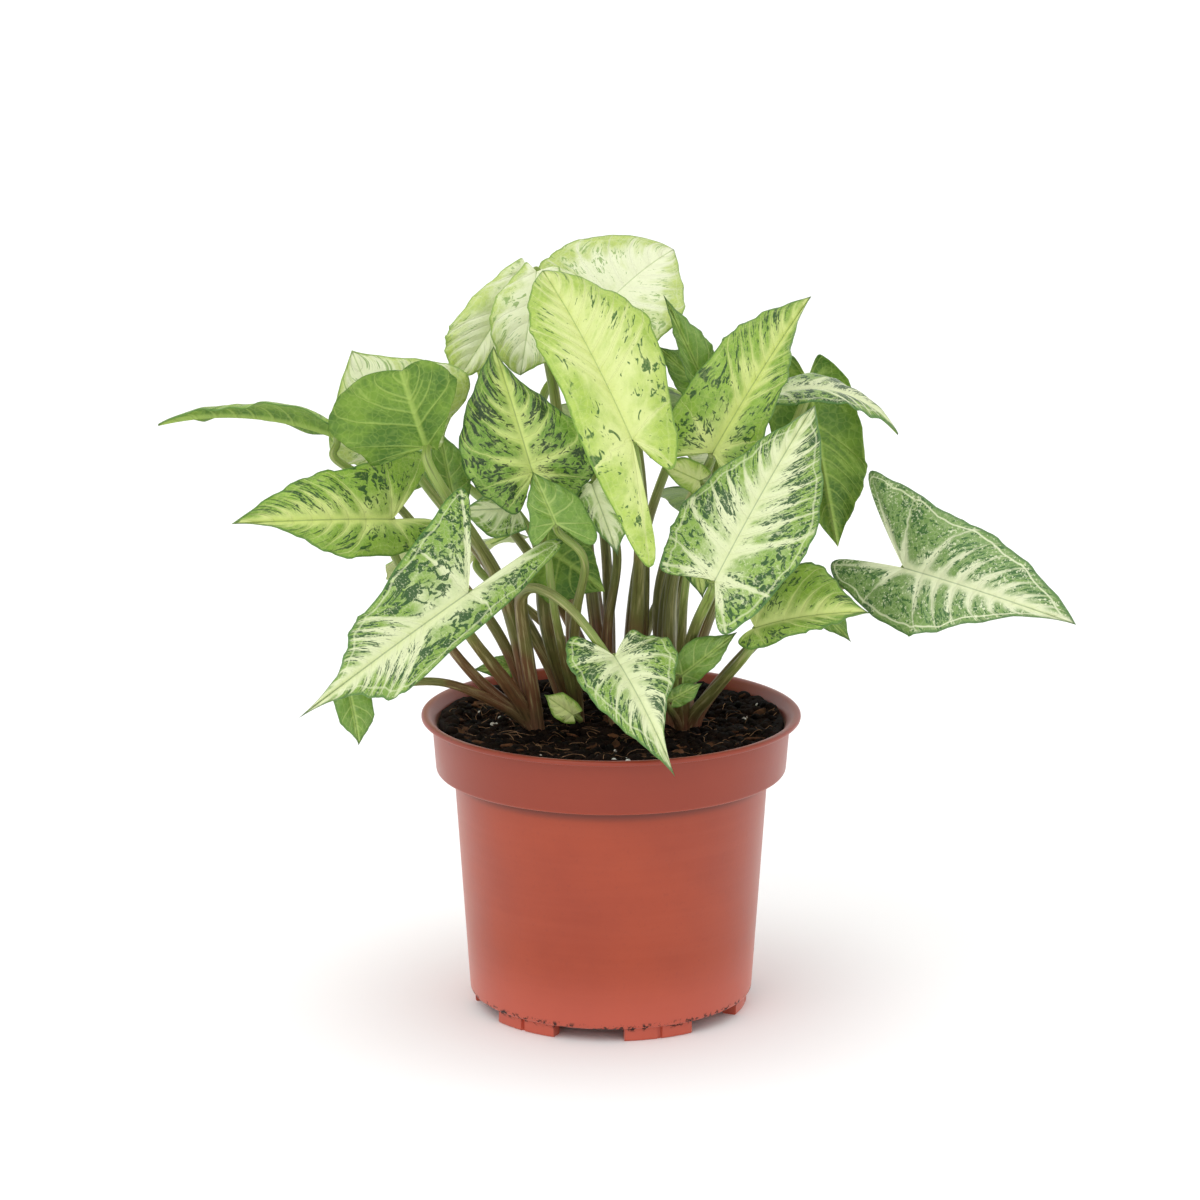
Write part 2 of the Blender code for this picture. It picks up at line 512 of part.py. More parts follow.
def blade_sheet(leaf, steps, rows):
    """Returns the points and triangles of a blade's upper face, and the loop of points along its edge."""
    length = np.linalg.norm(np.subtract(leaf.tip, leaf.base))
    points = []
    index = {}
    faces = []
    edges = []

    def point(side, flat, r, t):
        key = (side if flat[0] > SAME_POINT else 0, round(float(flat[0]), 4), round(float(flat[1]), 4))
        if key not in index:
            index[key] = len(points)
            points.append(blade_point(leaf, side, flat, r, t))
        return index[key]

    for side in (0, 1):
        edge, shares = half_outline(leaf, side, steps)
        t = np.linspace(0.0, 1.0, len(edge))
        inner = np.stack([np.zeros(len(edge)), shares * length], axis=1)
        grid = [[point(side, inner[j] * (1 - r) + edge[j] * r, r, t[j]) for j in range(len(edge))] for r in rows]
        edges.append(grid[-1][:-1] + [row[-2] for row in grid[-2:0:-1]] + grid[-1][-1:])
        for low, high in zip(grid, grid[1:]):
            for j in range(len(edge) - 2):
                for tri in ((low[j], low[j + 1], high[j + 1]), (low[j], high[j + 1], high[j])):
                    if len(set(tri)) == 3:
                        faces.append(tri if side else tri[::-1])
    return np.array(points), faces, edges[0] + edges[1][-2:0:-1]


def make_blade(leaf):
    """Makes one blade: two faces split into triangles alike, with a wall along the edge."""
    length = np.linalg.norm(np.subtract(leaf.tip, leaf.base))
    steps = SMALL_STEPS if length < SMALL_BLADE_LENGTH else LARGE_STEPS
    top, faces, loop = blade_sheet(leaf, steps, ROWS)
    under = top - blade_axes(leaf)[2] * BLADE
    count = len(top)
    solid = list(faces) + [tuple(count + k for k in tri[::-1]) for tri in faces]
    for a, b in zip(loop, loop[1:] + loop[:1]):
        solid.append((a, b, count + b))
        solid.append((a, count + b, count + a))
    return add_object(leaf.name, mesh_from(leaf.name, np.vstack([top, under]), solid), leaf.finish)


def smooth_route(points, steps):
    """Returns points on a smooth curve through the route's own points."""
    p = [np.array(q, float) for q in points]
    p = [2 * p[0] - p[1]] + p + [2 * p[-1] - p[-2]]
    out = []
    for a, b, c, d in zip(p, p[1:], p[2:], p[3:]):
        for t in np.linspace(0.0, 1.0, steps, endpoint=False):
            out.append(0.5 * (2 * b + (c - a) * t + (2 * a - 5 * b + 4 * c - d) * t**2
                              + (3 * b - a - 3 * c + d) * t**3))
    out.append(p[-2])
    return np.array(out)


def stalk_route(leaf, order):
    """Returns a stalk's route from its crown to just under the blade's base."""
    base = np.array(leaf.base, float)
    across, ahead, upper = blade_axes(leaf)
    centre = np.array(CROWNS[leaf.crown])
    first = np.array(leaf.via[0] if leaf.via else leaf.base, float)
    way = unit(first[:2] - centre)
    spread = min(STALK_SPREAD_MOST, STALK_SPREAD + STALK_SPREAD_STEP * order)
    root = (*(centre + way * STALK_ROOT_OFFSET), STALK_ROOT_Z)
    collar = (*(centre + way * spread), STALK_COLLAR_Z)
    set_back = NECK_SET_BACK if ahead[2] > NECK_TIP_RISE else NECK_SET_FORWARD
    neck = base - upper * leaf.neck - ahead * set_back * leaf.neck / NECK_LENGTH
    ending = [neck, base - upper * (BLADE_TO_STALK + END_RUN), base - upper * BLADE_TO_STALK]
    return smooth_route([root, collar] + leaf.via + ending, STALK_STEPS)


def tube(name, line, radii, sides):
    """Makes a closed tube along a line, with a radius at each point, that doesn't twist."""
    count = len(line)
    tangents = np.gradient(line, axis=0)
    side = unit(np.cross(tangents[0], (0.0, 1.0, 0.3)))
    points = []
    for p, tangent, radius in zip(line, tangents, radii):
        forward = unit(tangent)
        side = unit(side - forward * (side @ forward))
        other = np.cross(forward, side)
        for k in range(sides):
            a = math.tau * k / sides
            points.append(p + radius * (side * math.cos(a) + other * math.sin(a)))
    faces = [tuple(range(sides))[::-1], tuple((count - 1) * sides + k for k in range(sides))]
    for i in range(count - 1):
        for k in range(sides):
            nxt = (k + 1) % sides
            faces.append((i * sides + k, i * sides + nxt, (i + 1) * sides + nxt, (i + 1) * sides + k))
    return add_object(name, mesh_from(name, points, faces), "stalk")


def crown_stub(name, place):
    """Makes the rooted crown that a cutting's stalks grow from."""
    points = []
    for radius, height in ((CROWN_RADIUS, CROWN_BOTTOM), (CROWN_RADIUS, SOIL_LEVEL), (CROWN_TOP_RADIUS, CROWN_TOP)):
        for k in range(CROWN_SEGMENTS):
            a = math.tau * k / CROWN_SEGMENTS
            points.append((place[0] + radius * math.cos(a), place[1] + radius * math.sin(a), height))
    n = CROWN_SEGMENTS
    faces = [tuple(range(n))[::-1], tuple(2 * n + k for k in range(n))]
    for i in range(2):
        for k in range(n):
            nxt = (k + 1) % n
            faces.append((i * n + k, i * n + nxt, (i + 1) * n + nxt, (i + 1) * n + k))
    return add_object(name, mesh_from(name, points, faces), "stalk")


def make_stalks(crown):
    """Makes one cutting: its crown and all its stalks, joined in one solid."""
    name = "stalks_" + crown
    pieces = [crown_stub(name, CROWNS[crown])]
    for order, leaf in enumerate(item for item in LEAVES if item.crown == crown):
        line = stalk_route(leaf, order)
        radii = np.linspace(leaf.stalk[0], leaf.stalk[1], len(line))
        pieces.append(tube("stalk", line, radii, STALK_SIDES))
    return fuse(pieces, name)


def main():
    clear_scene()
    make_pot()
    make_soil()
    for crown in CROWNS:
        make_stalks(crown)
    for leaf in LEAVES:
        make_blade(leaf)
    total = 0
    for item in bpy.context.scene.objects:
        item.data.calc_loop_triangles()
        total += len(item.data.loop_triangles)
        print(item.name, len(item.data.loop_triangles))
    print("triangles in all", total)


main()
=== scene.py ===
# %% [markdown]
# # Arrowhead plant in a nursery pot
#
# This lesson dresses a plain solid model of a house plant so that it looks alive. The solids give every piece its
# place, and here each gets a fine surface and a finish made only from nodes. Sizes are written in millimetres and
# turned into metres when a mesh is made, because Blender works in metres.

import math
import random
from dataclasses import dataclass

import bmesh
import bpy
import numpy as np
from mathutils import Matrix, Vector, noise


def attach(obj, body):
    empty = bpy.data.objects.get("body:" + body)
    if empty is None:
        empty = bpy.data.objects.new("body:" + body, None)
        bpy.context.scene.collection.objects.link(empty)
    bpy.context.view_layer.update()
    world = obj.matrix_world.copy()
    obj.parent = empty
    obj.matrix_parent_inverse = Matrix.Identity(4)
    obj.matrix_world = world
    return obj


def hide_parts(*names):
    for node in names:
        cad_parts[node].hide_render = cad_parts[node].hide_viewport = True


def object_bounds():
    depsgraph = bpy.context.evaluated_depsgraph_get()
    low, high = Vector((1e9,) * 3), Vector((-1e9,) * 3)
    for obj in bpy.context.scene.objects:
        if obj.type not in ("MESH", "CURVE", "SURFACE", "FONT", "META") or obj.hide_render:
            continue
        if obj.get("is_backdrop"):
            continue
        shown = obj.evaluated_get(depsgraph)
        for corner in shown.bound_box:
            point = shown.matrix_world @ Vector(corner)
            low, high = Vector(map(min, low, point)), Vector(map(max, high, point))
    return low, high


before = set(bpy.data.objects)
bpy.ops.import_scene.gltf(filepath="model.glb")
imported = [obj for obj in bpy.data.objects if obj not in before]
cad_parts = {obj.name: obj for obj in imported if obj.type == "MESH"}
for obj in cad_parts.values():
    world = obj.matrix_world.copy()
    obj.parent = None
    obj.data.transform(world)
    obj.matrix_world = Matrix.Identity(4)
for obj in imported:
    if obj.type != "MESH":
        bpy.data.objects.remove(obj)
SOLID_LOW, SOLID_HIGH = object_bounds()
MM = 0.001
BODY = "root"
print("solid pieces:", len(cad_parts))
print("solid box in mm:", [round((b - a) / MM, 1) for a, b in zip(SOLID_LOW, SOLID_HIGH)])


# %% [markdown]
# ## A few words for node trees
#
# Materials and Geometry Nodes are graphs. Typing out every link makes long code, so a small class remembers the
# tree and has a short call for each kind of node.

# %% Helpers for node trees
NOISE_RANGE = (0.3, 0.7)


def colour(red, green, blue):
    """Returns a screen colour, 0 to 255, as the linear colour that shaders use."""
    def linear(value):
        value /= 255.0
        return value / 12.92 if value <= 0.04045 else ((value + 0.055) / 1.055) ** 2.4
    return (linear(red), linear(green), linear(blue), 1.0)


class Graph:
    """Makes nodes in one tree. A value that is a node or a socket is linked, any other is set on the socket."""

    def __init__(self, tree):
        self.tree = tree

    def feed(self, socket, value):
        if isinstance(value, bpy.types.Node):
            value = value.outputs[0]
        if isinstance(value, bpy.types.NodeSocket):
            self.tree.links.new(value, socket)
        else:
            socket.default_value = value

    def node(self, kind, inputs=(), **settings):
        """Makes a node. Its inputs are given in order, or in a dict by their names or numbers."""
        item = self.tree.nodes.new(kind)
        for key, value in settings.items():
            setattr(item, key, value)
        for key, value in inputs.items() if isinstance(inputs, dict) else enumerate(inputs):
            self.feed(item.inputs[key], value)
        return item

    def geo(self, kind, inputs=(), **settings):
        return self.node("GeometryNode" + kind, inputs, **settings)

    def math(self, operation, *values):
        return self.node("ShaderNodeMath", values, operation=operation).outputs[0]

    def plus(self, total, *values):
        for value in values:
            total = self.math("ADD", total, value)
        return total

    def times(self, a, b):
        return self.math("MULTIPLY", a, b)

    def swing(self, value, size):
        """Turns a noise round one half into one round zero."""
        return self.times(self.math("SUBTRACT", value, 0.5), size)

    def step(self, value, low, high, start=0.0, end=1.0):
        """Returns a smooth change from start to end while value goes from low to high."""
        return self.node("ShaderNodeMapRange", (value, low, high, start, end),
                         interpolation_type="SMOOTHSTEP").outputs[0]

    def rise(self, value, none, full, share=1.0):
        """Returns a share that grows smoothly from nothing."""
        return self.step(value, none, full, 0.0, share)

    def fade(self, value, full, none, share=1.0):
        """Returns a share that shrinks smoothly to nothing."""
        return self.step(value, full, none, share, 0.0)

    def over(self, cloud, start=0.0, end=1.0):
        """Returns a smooth change over the usual range of a noise."""
        return self.step(cloud, *NOISE_RANGE, start, end)

    def coats(self, base, *layers):
        """Paints layers on a base colour. Each is its share, from 0 to 1, and a screen colour."""
        base = colour(*base)
        for share, tint in layers:
            base = self.node("ShaderNodeMix", {0: share, 6: base, 7: colour(*tint)}, data_type="RGBA").outputs[2]
        return base

    def grain(self, place, scale, detail=2.0, roughness=0.5, distortion=0.0):
        """Returns a cloudy noise round one half."""
        inputs = {"Vector": place, "Scale": scale, "Detail": detail, "Roughness": roughness,
                  "Distortion": distortion}
        return self.node("ShaderNodeTexNoise", inputs).outputs["Fac"]

    def cells(self, place, scale):
        """Returns the distance to the borders of scattered cells."""
        return self.node("ShaderNodeTexVoronoi", {"Vector": place, "Scale": scale},
                         feature="DISTANCE_TO_EDGE").outputs["Distance"]

    def stretch(self, place, scale):
        return self.node("ShaderNodeMapping", {"Vector": place, "Scale": scale}).outputs[0]

    def attribute(self, name, kind="Vector"):
        return self.node("ShaderNodeAttribute", attribute_name=name).outputs[kind]

    def parts(self, vector):
        return self.node("ShaderNodeSeparateXYZ", (vector,)).outputs


print("words for node trees:", ", ".join(word for word in vars(Graph) if not word.startswith("_")))


# %% [markdown]
# A finish is such a graph inside a new material. It ends by giving the shader its colour, roughness and relief.

# %% Graph of a finish
class Finish(Graph):
    """The graph of a new material with its Principled shader."""

    def __init__(self, name):
        self.material = bpy.data.materials.new(name)
        self.material.use_nodes = True
        super().__init__(self.material.node_tree)
        self.shader = self.tree.nodes["Principled BSDF"].inputs

    def place(self):
        return self.node("ShaderNodeTexCoord").outputs["Object"]

    def close(self, base, rough, height, depth_mm, strength):
        """Gives the shader its colour, its roughness and a relief from a height of 0 to 1."""
        bump = self.node("ShaderNodeBump", {"Height": height, "Strength": strength, "Distance": depth_mm * MM})
        for key, value in (("Base Color", base), ("Roughness", rough), ("Normal", bump)):
            self.feed(self.shader[key], value)
        return self.material


print("words that a finish adds:", ", ".join(word for word in vars(Finish) if not word.startswith("_")))


# %% [markdown]
# A rule is such a graph for shapes. Its named inputs are what can be tuned from outside.

# %% Graph of a Geometry Nodes rule
class Rule(Graph):
    """The graph of a new Geometry Nodes tree with named inputs, whose defaults are given."""

    def __init__(self, name, **inputs):
        tree = bpy.data.node_groups.new(name, "GeometryNodeTree")
        super().__init__(tree)
        for way in ("INPUT", "OUTPUT"):
            tree.interface.new_socket("Geometry", in_out=way, socket_type="NodeSocketGeometry")
        for key, value in inputs.items():
            kind = {int: "NodeSocketInt", float: "NodeSocketFloat"}.get(type(value), "NodeSocketMaterial")
            socket = tree.interface.new_socket(key.replace("_", " "), in_out="INPUT", socket_type=kind)
            if value is not None:
                socket.default_value = value
        self.given = tree.nodes.new("NodeGroupInput").outputs
        self.end = tree.nodes.new("NodeGroupOutput").inputs[0]

    def close(self, geometry):
        """Ends the tree: instances become real and all of it gets the finish."""
        whole = self.geo("RealizeInstances", (geometry,))
        self.feed(self.end, self.geo("SetMaterial", {"Geometry": whole, "Material": self.given["Finish"]}))
        return self.tree


print("words that a rule adds:", ", ".join(word for word in vars(Rule) if not word.startswith("_")))


# %% [markdown]
# ## A few words for objects
#
# A Geometry Nodes modifier is only a recipe. Before a piece joins the model, the recipe is carried out and the
# result kept as a plain mesh, so that every tool sees the same shape.

# %% Helpers for objects
def in_scene(name, data):
    """Puts a mesh, curve, lamp or camera in the scene at the origin."""
    item = bpy.data.objects.new(name, data)
    bpy.context.scene.collection.objects.link(item)
    return item


def carried_out(maker, name, tree, **values):
    """Runs a tree on an object, with its inputs set by identifier, and leaves only the result as a plain mesh."""
    modifier = maker.modifiers.new(tree.name, "NODES")
    modifier.node_group = tree
    sockets = {s.name: s.identifier for s in tree.interface.items_tree if s.in_out == "INPUT"}
    for key, value in values.items():
        modifier[sockets[key.replace("_", " ")]] = value
    bpy.context.view_layer.update()
    mesh = bpy.data.meshes.new_from_object(maker.evaluated_get(bpy.context.evaluated_depsgraph_get()))
    bpy.data.objects.remove(maker)
    mesh.name = name
    return in_scene(name, mesh)


def put_on(piece, slot, *nodes):
    """Joins a finished piece to the solid model: it rides and replaces its solids. Its slot is not used."""
    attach(piece, BODY)
    if nodes:
        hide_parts(*nodes)


def triangles(*pieces):
    return sum(len(face.vertices) - 2 for piece in pieces for face in piece.data.polygons)


# %% [markdown]
# ## The pot
#
# A nursery pot is one thin plastic moulding. It is round, so its wall can be a line turned about the upright axis. A
# real mould has no knife edges, so every corner is first cut to a small curve, which catches the light.

# %% Pot sizes and its turned wall
POT_HEIGHT = 95.0
LIP_RADIUS = 60.0
LIP_THICKNESS = 1.6
LIP_WIDTH = 2.3
WALL = 1.4
WALL_CORNER = 1.1
COLLAR_TOP_RADIUS = 56.7
COLLAR_BOTTOM_RADIUS = 55.4
COLLAR_BOTTOM = 76.7
BODY_TOP_RADIUS = 49.8
BODY_BOTTOM_RADIUS = 45.0
FOOT_HEIGHT = 4.3
TURN_STEPS = 160
CORNER_STEPS = 5
CORNER_SHARE = 0.45


def softened(corners, radius):
    """Cuts the corners of an open line to short curves that start at most a radius away from each corner."""
    points = [corners[0]]
    for before, corner, after in zip(*(np.array(corners[k:], float) for k in range(3))):
        start, end = (corner + (way - corner) * min(CORNER_SHARE, radius / np.linalg.norm(way - corner))
                      for way in (before, after))
        points += [tuple((1 - t) ** 2 * start + 2 * t * (1 - t) * corner + t * t * end)
                   for t in np.linspace(0.0, 1.0, CORNER_STEPS)]
    return points + [corners[-1]]


def solid_mesh(name, points_mm, faces):
    """Makes a smooth mesh from points in millimetres, with its faces turned outward."""
    mesh = bpy.data.meshes.new(name)
    mesh.from_pydata([tuple(float(c) * MM for c in p) for p in points_mm], [], faces)
    shape = bmesh.new()
    shape.from_mesh(mesh)
    bmesh.ops.recalc_face_normals(shape, faces=shape.faces)
    shape.to_mesh(mesh)
    shape.free()
    mesh.shade_smooth()
    return mesh


def turned_mesh(name, line, steps):
    """Turns a line of (radius, height) about Z. Its two ends lie on the axis and become single points."""
    points = [(0.0, 0.0, line[0][1]), (0.0, 0.0, line[-1][1])]
    for radius, height in line[1:-1]:
        for k in range(steps):
            a = math.tau * k / steps
            points.append((radius * math.cos(a), radius * math.sin(a), height))
    rings = [[2 + i * steps + k for k in range(steps)] for i in range(len(line) - 2)]
    faces = []
    for k in range(steps):
        n = (k + 1) % steps
        faces += [(0, rings[0][n], rings[0][k]), (1, rings[-1][k], rings[-1][n])]
        faces += [(low[k], low[n], high[n], high[k]) for low, high in zip(rings, rings[1:])]
    return solid_mesh(name, points, faces)


def inside_of(bottom, bottom_radius, top, top_radius):
    """Returns the rule for the inner radius of a tapering part of the wall at a height."""
    def radius(height):
        return bottom_radius + (top_radius - bottom_radius) * ((height - bottom) / (top - bottom)) - WALL
    return radius


inner_body_radius = inside_of(FOOT_HEIGHT, BODY_BOTTOM_RADIUS, COLLAR_BOTTOM, BODY_TOP_RADIUS)
inner_collar_radius = inside_of(COLLAR_BOTTOM, COLLAR_BOTTOM_RADIUS, POT_HEIGHT, COLLAR_TOP_RADIUS)
floor_top = FOOT_HEIGHT + WALL
shelf_top = COLLAR_BOTTOM + WALL
lip_under = POT_HEIGHT - LIP_THICKNESS
wall_line = softened([
    (0.0, FOOT_HEIGHT),
    (BODY_BOTTOM_RADIUS, FOOT_HEIGHT),
    (BODY_TOP_RADIUS, COLLAR_BOTTOM),
    (COLLAR_BOTTOM_RADIUS, COLLAR_BOTTOM),
    (COLLAR_TOP_RADIUS, lip_under),
    (LIP_RADIUS, lip_under),
    (LIP_RADIUS, POT_HEIGHT),
    (LIP_RADIUS - LIP_WIDTH, POT_HEIGHT),
    (inner_collar_radius(lip_under - WALL), lip_under - WALL),
    (inner_collar_radius(shelf_top), shelf_top),
    (inner_body_radius(shelf_top), shelf_top),
    (inner_body_radius(floor_top), floor_top),
    (0.0, floor_top),
], WALL_CORNER)
pot_wall = turned_mesh("pot_wall", wall_line, TURN_STEPS)
print("pot wall points:", len(pot_wall.vertices), "from a line of", len(wall_line))


# %% [markdown]
# ## Feet and drainage holes
#
# Water must run out under the pot, so it stands on six short feet, and the floor has a hole between each two. Both
# repeat round a circle. That is work for Geometry Nodes: one foot, one cutter and a ring of points give them all.

# %% Feet and holes with Geometry Nodes
FOOT_OUTER_RADIUS = 43.5
FOOT_WIDTH = 4.5
FOOT_COUNT = 6
FOOT_ARC_DEG = 30.0
FIRST_FOOT_DEG = -69.5
FOOT_STEPS = 14
FOOT_SINK = 0.9
FOOT_CORNER = 0.7
SLOT_DEG = 1.1
SLOT_FLOOR_DEG = SLOT_DEG * 0.6
SLOT_DEPTH = 0.9
DRAIN_RADIUS = 3.5
DRAIN_RING_RADIUS = 30.0
DRAIN_SIDES = 32
ON_THE_AXIS = 0.001
SHARP = math.radians(50)


def foot_mesh():
    """Makes one foot round angle zero: an arc with soft lower edges and a fine mould slot in its outer face."""
    inner, outer = FOOT_OUTER_RADIUS - FOOT_WIDTH, FOOT_OUTER_RADIUS
    top = FOOT_HEIGHT + FOOT_SINK
    section = softened([(inner, top), (inner, 0.0), (outer, 0.0), (outer, top)], FOOT_CORNER)
    half = FOOT_ARC_DEG / 2
    slot = [-SLOT_DEG, -SLOT_FLOOR_DEG, SLOT_FLOOR_DEG, SLOT_DEG]
    angles = sorted({*np.linspace(-half, half, FOOT_STEPS + 1).tolist(), *slot})
    points = []
    for degrees in angles:
        a = math.radians(degrees)
        reach = outer - SLOT_DEPTH if abs(degrees) < SLOT_DEG else outer
        for radius, height in section:
            r = min(radius, reach)
            points.append((r * math.cos(a), r * math.sin(a), height))
    n = len(section)
    faces = [tuple(range(n)), tuple((len(angles) - 1) * n + k for k in range(n))[::-1]]
    for i in range(len(angles) - 1):
        faces += [(i * n + k, i * n + n + k, i * n + n + (k + 1) % n, i * n + (k + 1) % n) for k in range(n)]
    mesh = solid_mesh("pot_foot", points, faces)
    mesh.set_sharp_from_angle(angle=SHARP)
    return mesh


def ring_of_points(rule, radius, first_deg):
    """Returns as many points on a circle as there are feet."""
    circle = rule.geo("MeshCircle", {"Vertices": rule.given["Foot count"], "Radius": radius * MM})
    return rule.geo("Transform", {"Geometry": circle, "Rotation": (0.0, 0.0, math.radians(first_deg))})


def pot_tree(foot):
    """Builds the rule: feet that look outward from the axis, and holes cut between them."""
    rule = Rule("pot_feet_and_holes", Foot_count=FOOT_COUNT, Hole_radius=DRAIN_RADIUS * MM, Finish=None)
    x, y, _ = rule.parts(rule.geo("InputPosition"))
    turn = rule.node("ShaderNodeCombineXYZ", {"Z": rule.math("ARCTAN2", y, x)})
    outward = rule.node("FunctionNodeEulerToRotation", (turn,))
    shape = rule.geo("ObjectInfo", {"Object": foot}).outputs["Geometry"]
    ring = ring_of_points(rule, ON_THE_AXIS, FIRST_FOOT_DEG)
    feet = rule.geo("InstanceOnPoints", {"Points": ring, "Instance": shape, "Rotation": outward})
    holes = ring_of_points(rule, DRAIN_RING_RADIUS, FIRST_FOOT_DEG + 180.0 / FOOT_COUNT)
    cutter = rule.geo("MeshCylinder", {"Vertices": DRAIN_SIDES, "Radius": rule.given["Hole radius"],
                                       "Depth": 5 * WALL * MM})
    raised = rule.geo("Transform", {"Geometry": cutter, "Translation": (0.0, 0.0, FOOT_HEIGHT * MM)})
    cutters = rule.geo("RealizeInstances", (rule.geo("InstanceOnPoints", {"Points": holes, "Instance": raised}),))
    cut = rule.geo("MeshBoolean", {"Mesh 1": rule.given["Geometry"], "Mesh 2": cutters}, operation="DIFFERENCE")
    both = rule.geo("JoinGeometry", (cut,))
    rule.feed(both.inputs[0], feet)
    return rule.close(both)


foot = in_scene("pot_foot", foot_mesh())
feet_and_holes = pot_tree(foot)
print("one foot has", triangles(foot), "triangles, and the rule has", len(feet_and_holes.nodes), "nodes")


# %% [markdown]
# ## Terracotta-coloured plastic
#
# The plastic is satin, not clay: one even colour with a very fine grain, faint rings where the melt flowed, and a
# little soil near the feet and the lip. Painted shade darkens the collar and a band just under it, and painted light
# from the floor makes the wall lighter towards the feet. All of it is read from the object's own place, so it moves
# with the pot.

# %% Pot finish
DIRT_HEIGHT = 4.6
# Height in mm where the painted floor light on the wall has faded out.
FLOOR_LIGHT_TOP = 28.0
# Painted shadow under the collar: how far below the collar the dark band starts and reaches full depth, in mm.
SHADE_UNDER_COLLAR = (4.6, 1.4)
STAINS = (84.0, 94.0)


def pot_finish():
    g = Finish("terracotta_plastic")
    place = g.place()
    height = g.parts(place)[2]

    def by_height(low, high, start=0.0, end=1.0):
        return g.step(height, low * MM, high * MM, start, end)

    cloud = g.grain(place, 26.0, 4.0, 0.6)
    fine = g.grain(place, 900.0)
    flow = g.grain(g.stretch(place, (18.0, 18.0, 420.0)), 1.0, 3.0)
    # Painted shadow: a dark band on the body just under the overhanging collar.
    deep, shallow = SHADE_UNDER_COLLAR
    below = g.math("LESS_THAN", height, (COLLAR_BOTTOM + 0.05) * MM)
    shade = g.times(by_height(COLLAR_BOTTOM - deep, COLLAR_BOTTOM - shallow, 0.0, 0.75), below)
    crumbs = g.rise(g.grain(place, 520.0, 4.0, 0.7), 0.52, 0.56)
    from_joint = g.math("ABSOLUTE", g.math("SUBTRACT", height, DIRT_HEIGHT * MM))
    dirt = g.times(g.fade(from_joint, 0.6 * MM, 1.9 * MM), crumbs)
    stains = g.times(g.rise(g.grain(place, 300.0, 3.0, 0.7), 0.66, 0.74, 0.4), by_height(*STAINS))
    base = g.coats(
        (154, 56, 27),
        (g.over(cloud), (165, 64, 32)),
        (g.rise(flow, 0.35, 0.75, 0.12), (178, 80, 52)),
        (g.rise(fine, 0.55, 0.8, 0.3), (138, 52, 32)),
        # Painted light from the white floor: the wall is lighter towards the feet.
        (by_height(2.0, FLOOR_LIGHT_TOP, 0.6, 0.0), (208, 100, 80)),
        (shade, (84, 30, 18)),
        # Painted shadow of the leaves: the collar is darker than the body.
        (by_height(COLLAR_BOTTOM, COLLAR_BOTTOM + 1.0, 0.0, 0.7), (134, 44, 20)),
        (dirt, (34, 18, 12)),
        (stains, (84, 40, 28)),
    )
    g.shader["Sheen Weight"].default_value = 0.28
    g.shader["Sheen Roughness"].default_value = 0.35
    g.shader["Sheen Tint"].default_value = colour(255, 226, 218)
    rough = g.plus(g.over(cloud, 0.36, 0.44), g.times(dirt, 0.4))
    return g.close(base, rough, g.plus(fine, g.times(flow, 0.5)), 0.04, 0.4)


pot = carried_out(in_scene("pot_maker", pot_wall), "pot_moulding", feet_and_holes, Finish=pot_finish())
bpy.data.objects.remove(foot)
pot.data.set_sharp_from_angle(angle=SHARP)
put_on(pot, "pot_plastic", "pot")
print("pot triangles:", triangles(pot))


# %% [markdown]
# ## The potting mix
#
# The body of the mix is a turned solid that fills the pot. Its top is pushed up and down by cloudy noise at two
# sizes, so the light finds hollows in it.

# %% The body of the mix
SOIL_LEVEL = 88.8
SOIL_HEAP = 4.0
SOIL_HEAP_RADIUS = 54.0
SOIL_LUMP = 1.5
SOIL_GRIT = 0.55
SOIL_CREEP = 1.6
SOIL_RINGS = 46
SOIL_STEPS = 150
GAP = 0.3
FIRST_RING = 0.3
SAME_HEIGHT = 0.01


def soil_height(x, y):
    """Returns the height of the mix at a place in millimetres: heaped to the wall, with broad lumps and grit."""
    lump = noise.noise(Vector((x * 0.11, y * 0.11, 3.7)))
    grit = noise.noise(Vector((x * 0.55, y * 0.55, 9.1)))
    heaped = SOIL_HEAP * min(1.0, math.hypot(x, y) / SOIL_HEAP_RADIUS) ** 3
    return SOIL_LEVEL + heaped + SOIL_LUMP * lump + SOIL_GRIT * grit


def soil_mesh():
    floor, shelf = floor_top + GAP, shelf_top + GAP
    edge = inner_collar_radius(SOIL_LEVEL) - GAP
    line = [(0.0, floor), (inner_body_radius(floor) - GAP, floor), (inner_body_radius(shelf) - GAP, shelf),
            (inner_collar_radius(shelf) - GAP, shelf), (edge, SOIL_LEVEL + SOIL_HEAP - SOIL_CREEP)]
    line += [(edge * (1 - (i + FIRST_RING) / SOIL_RINGS), SOIL_LEVEL) for i in range(SOIL_RINGS)]
    line.append((0.0, SOIL_LEVEL))
    mesh = turned_mesh("potting_mix_body", line, SOIL_STEPS)
    for vertex in mesh.vertices:
        x, y, z = (c / MM for c in vertex.co)
        if abs(z - SOIL_LEVEL) < SAME_HEIGHT:
            vertex.co.z = soil_height(x, y) * MM
    return mesh


def grainy_finish(name, deep, light, scale=1.0, roughness=0.9):
    """Dull, grainy stuff: two tones mixed by fine grain, which also gives the relief."""
    g = Finish(name)
    coarse = g.grain(g.place(), 240.0 * scale, 5.0, 0.65)
    fine = g.grain(g.place(), 1100.0 * scale, 3.0, 0.6)
    base = g.coats(deep, (g.rise(coarse, 0.35, 0.68), light), (g.rise(fine, 0.6, 0.75, 0.5), deep))
    g.shader["Specular IOR Level"].default_value = 0.08
    rough = g.over(coarse, roughness - 0.15, roughness)
    return g.close(base, rough, g.plus(coarse, g.times(fine, 0.5)), 0.5, 0.8)


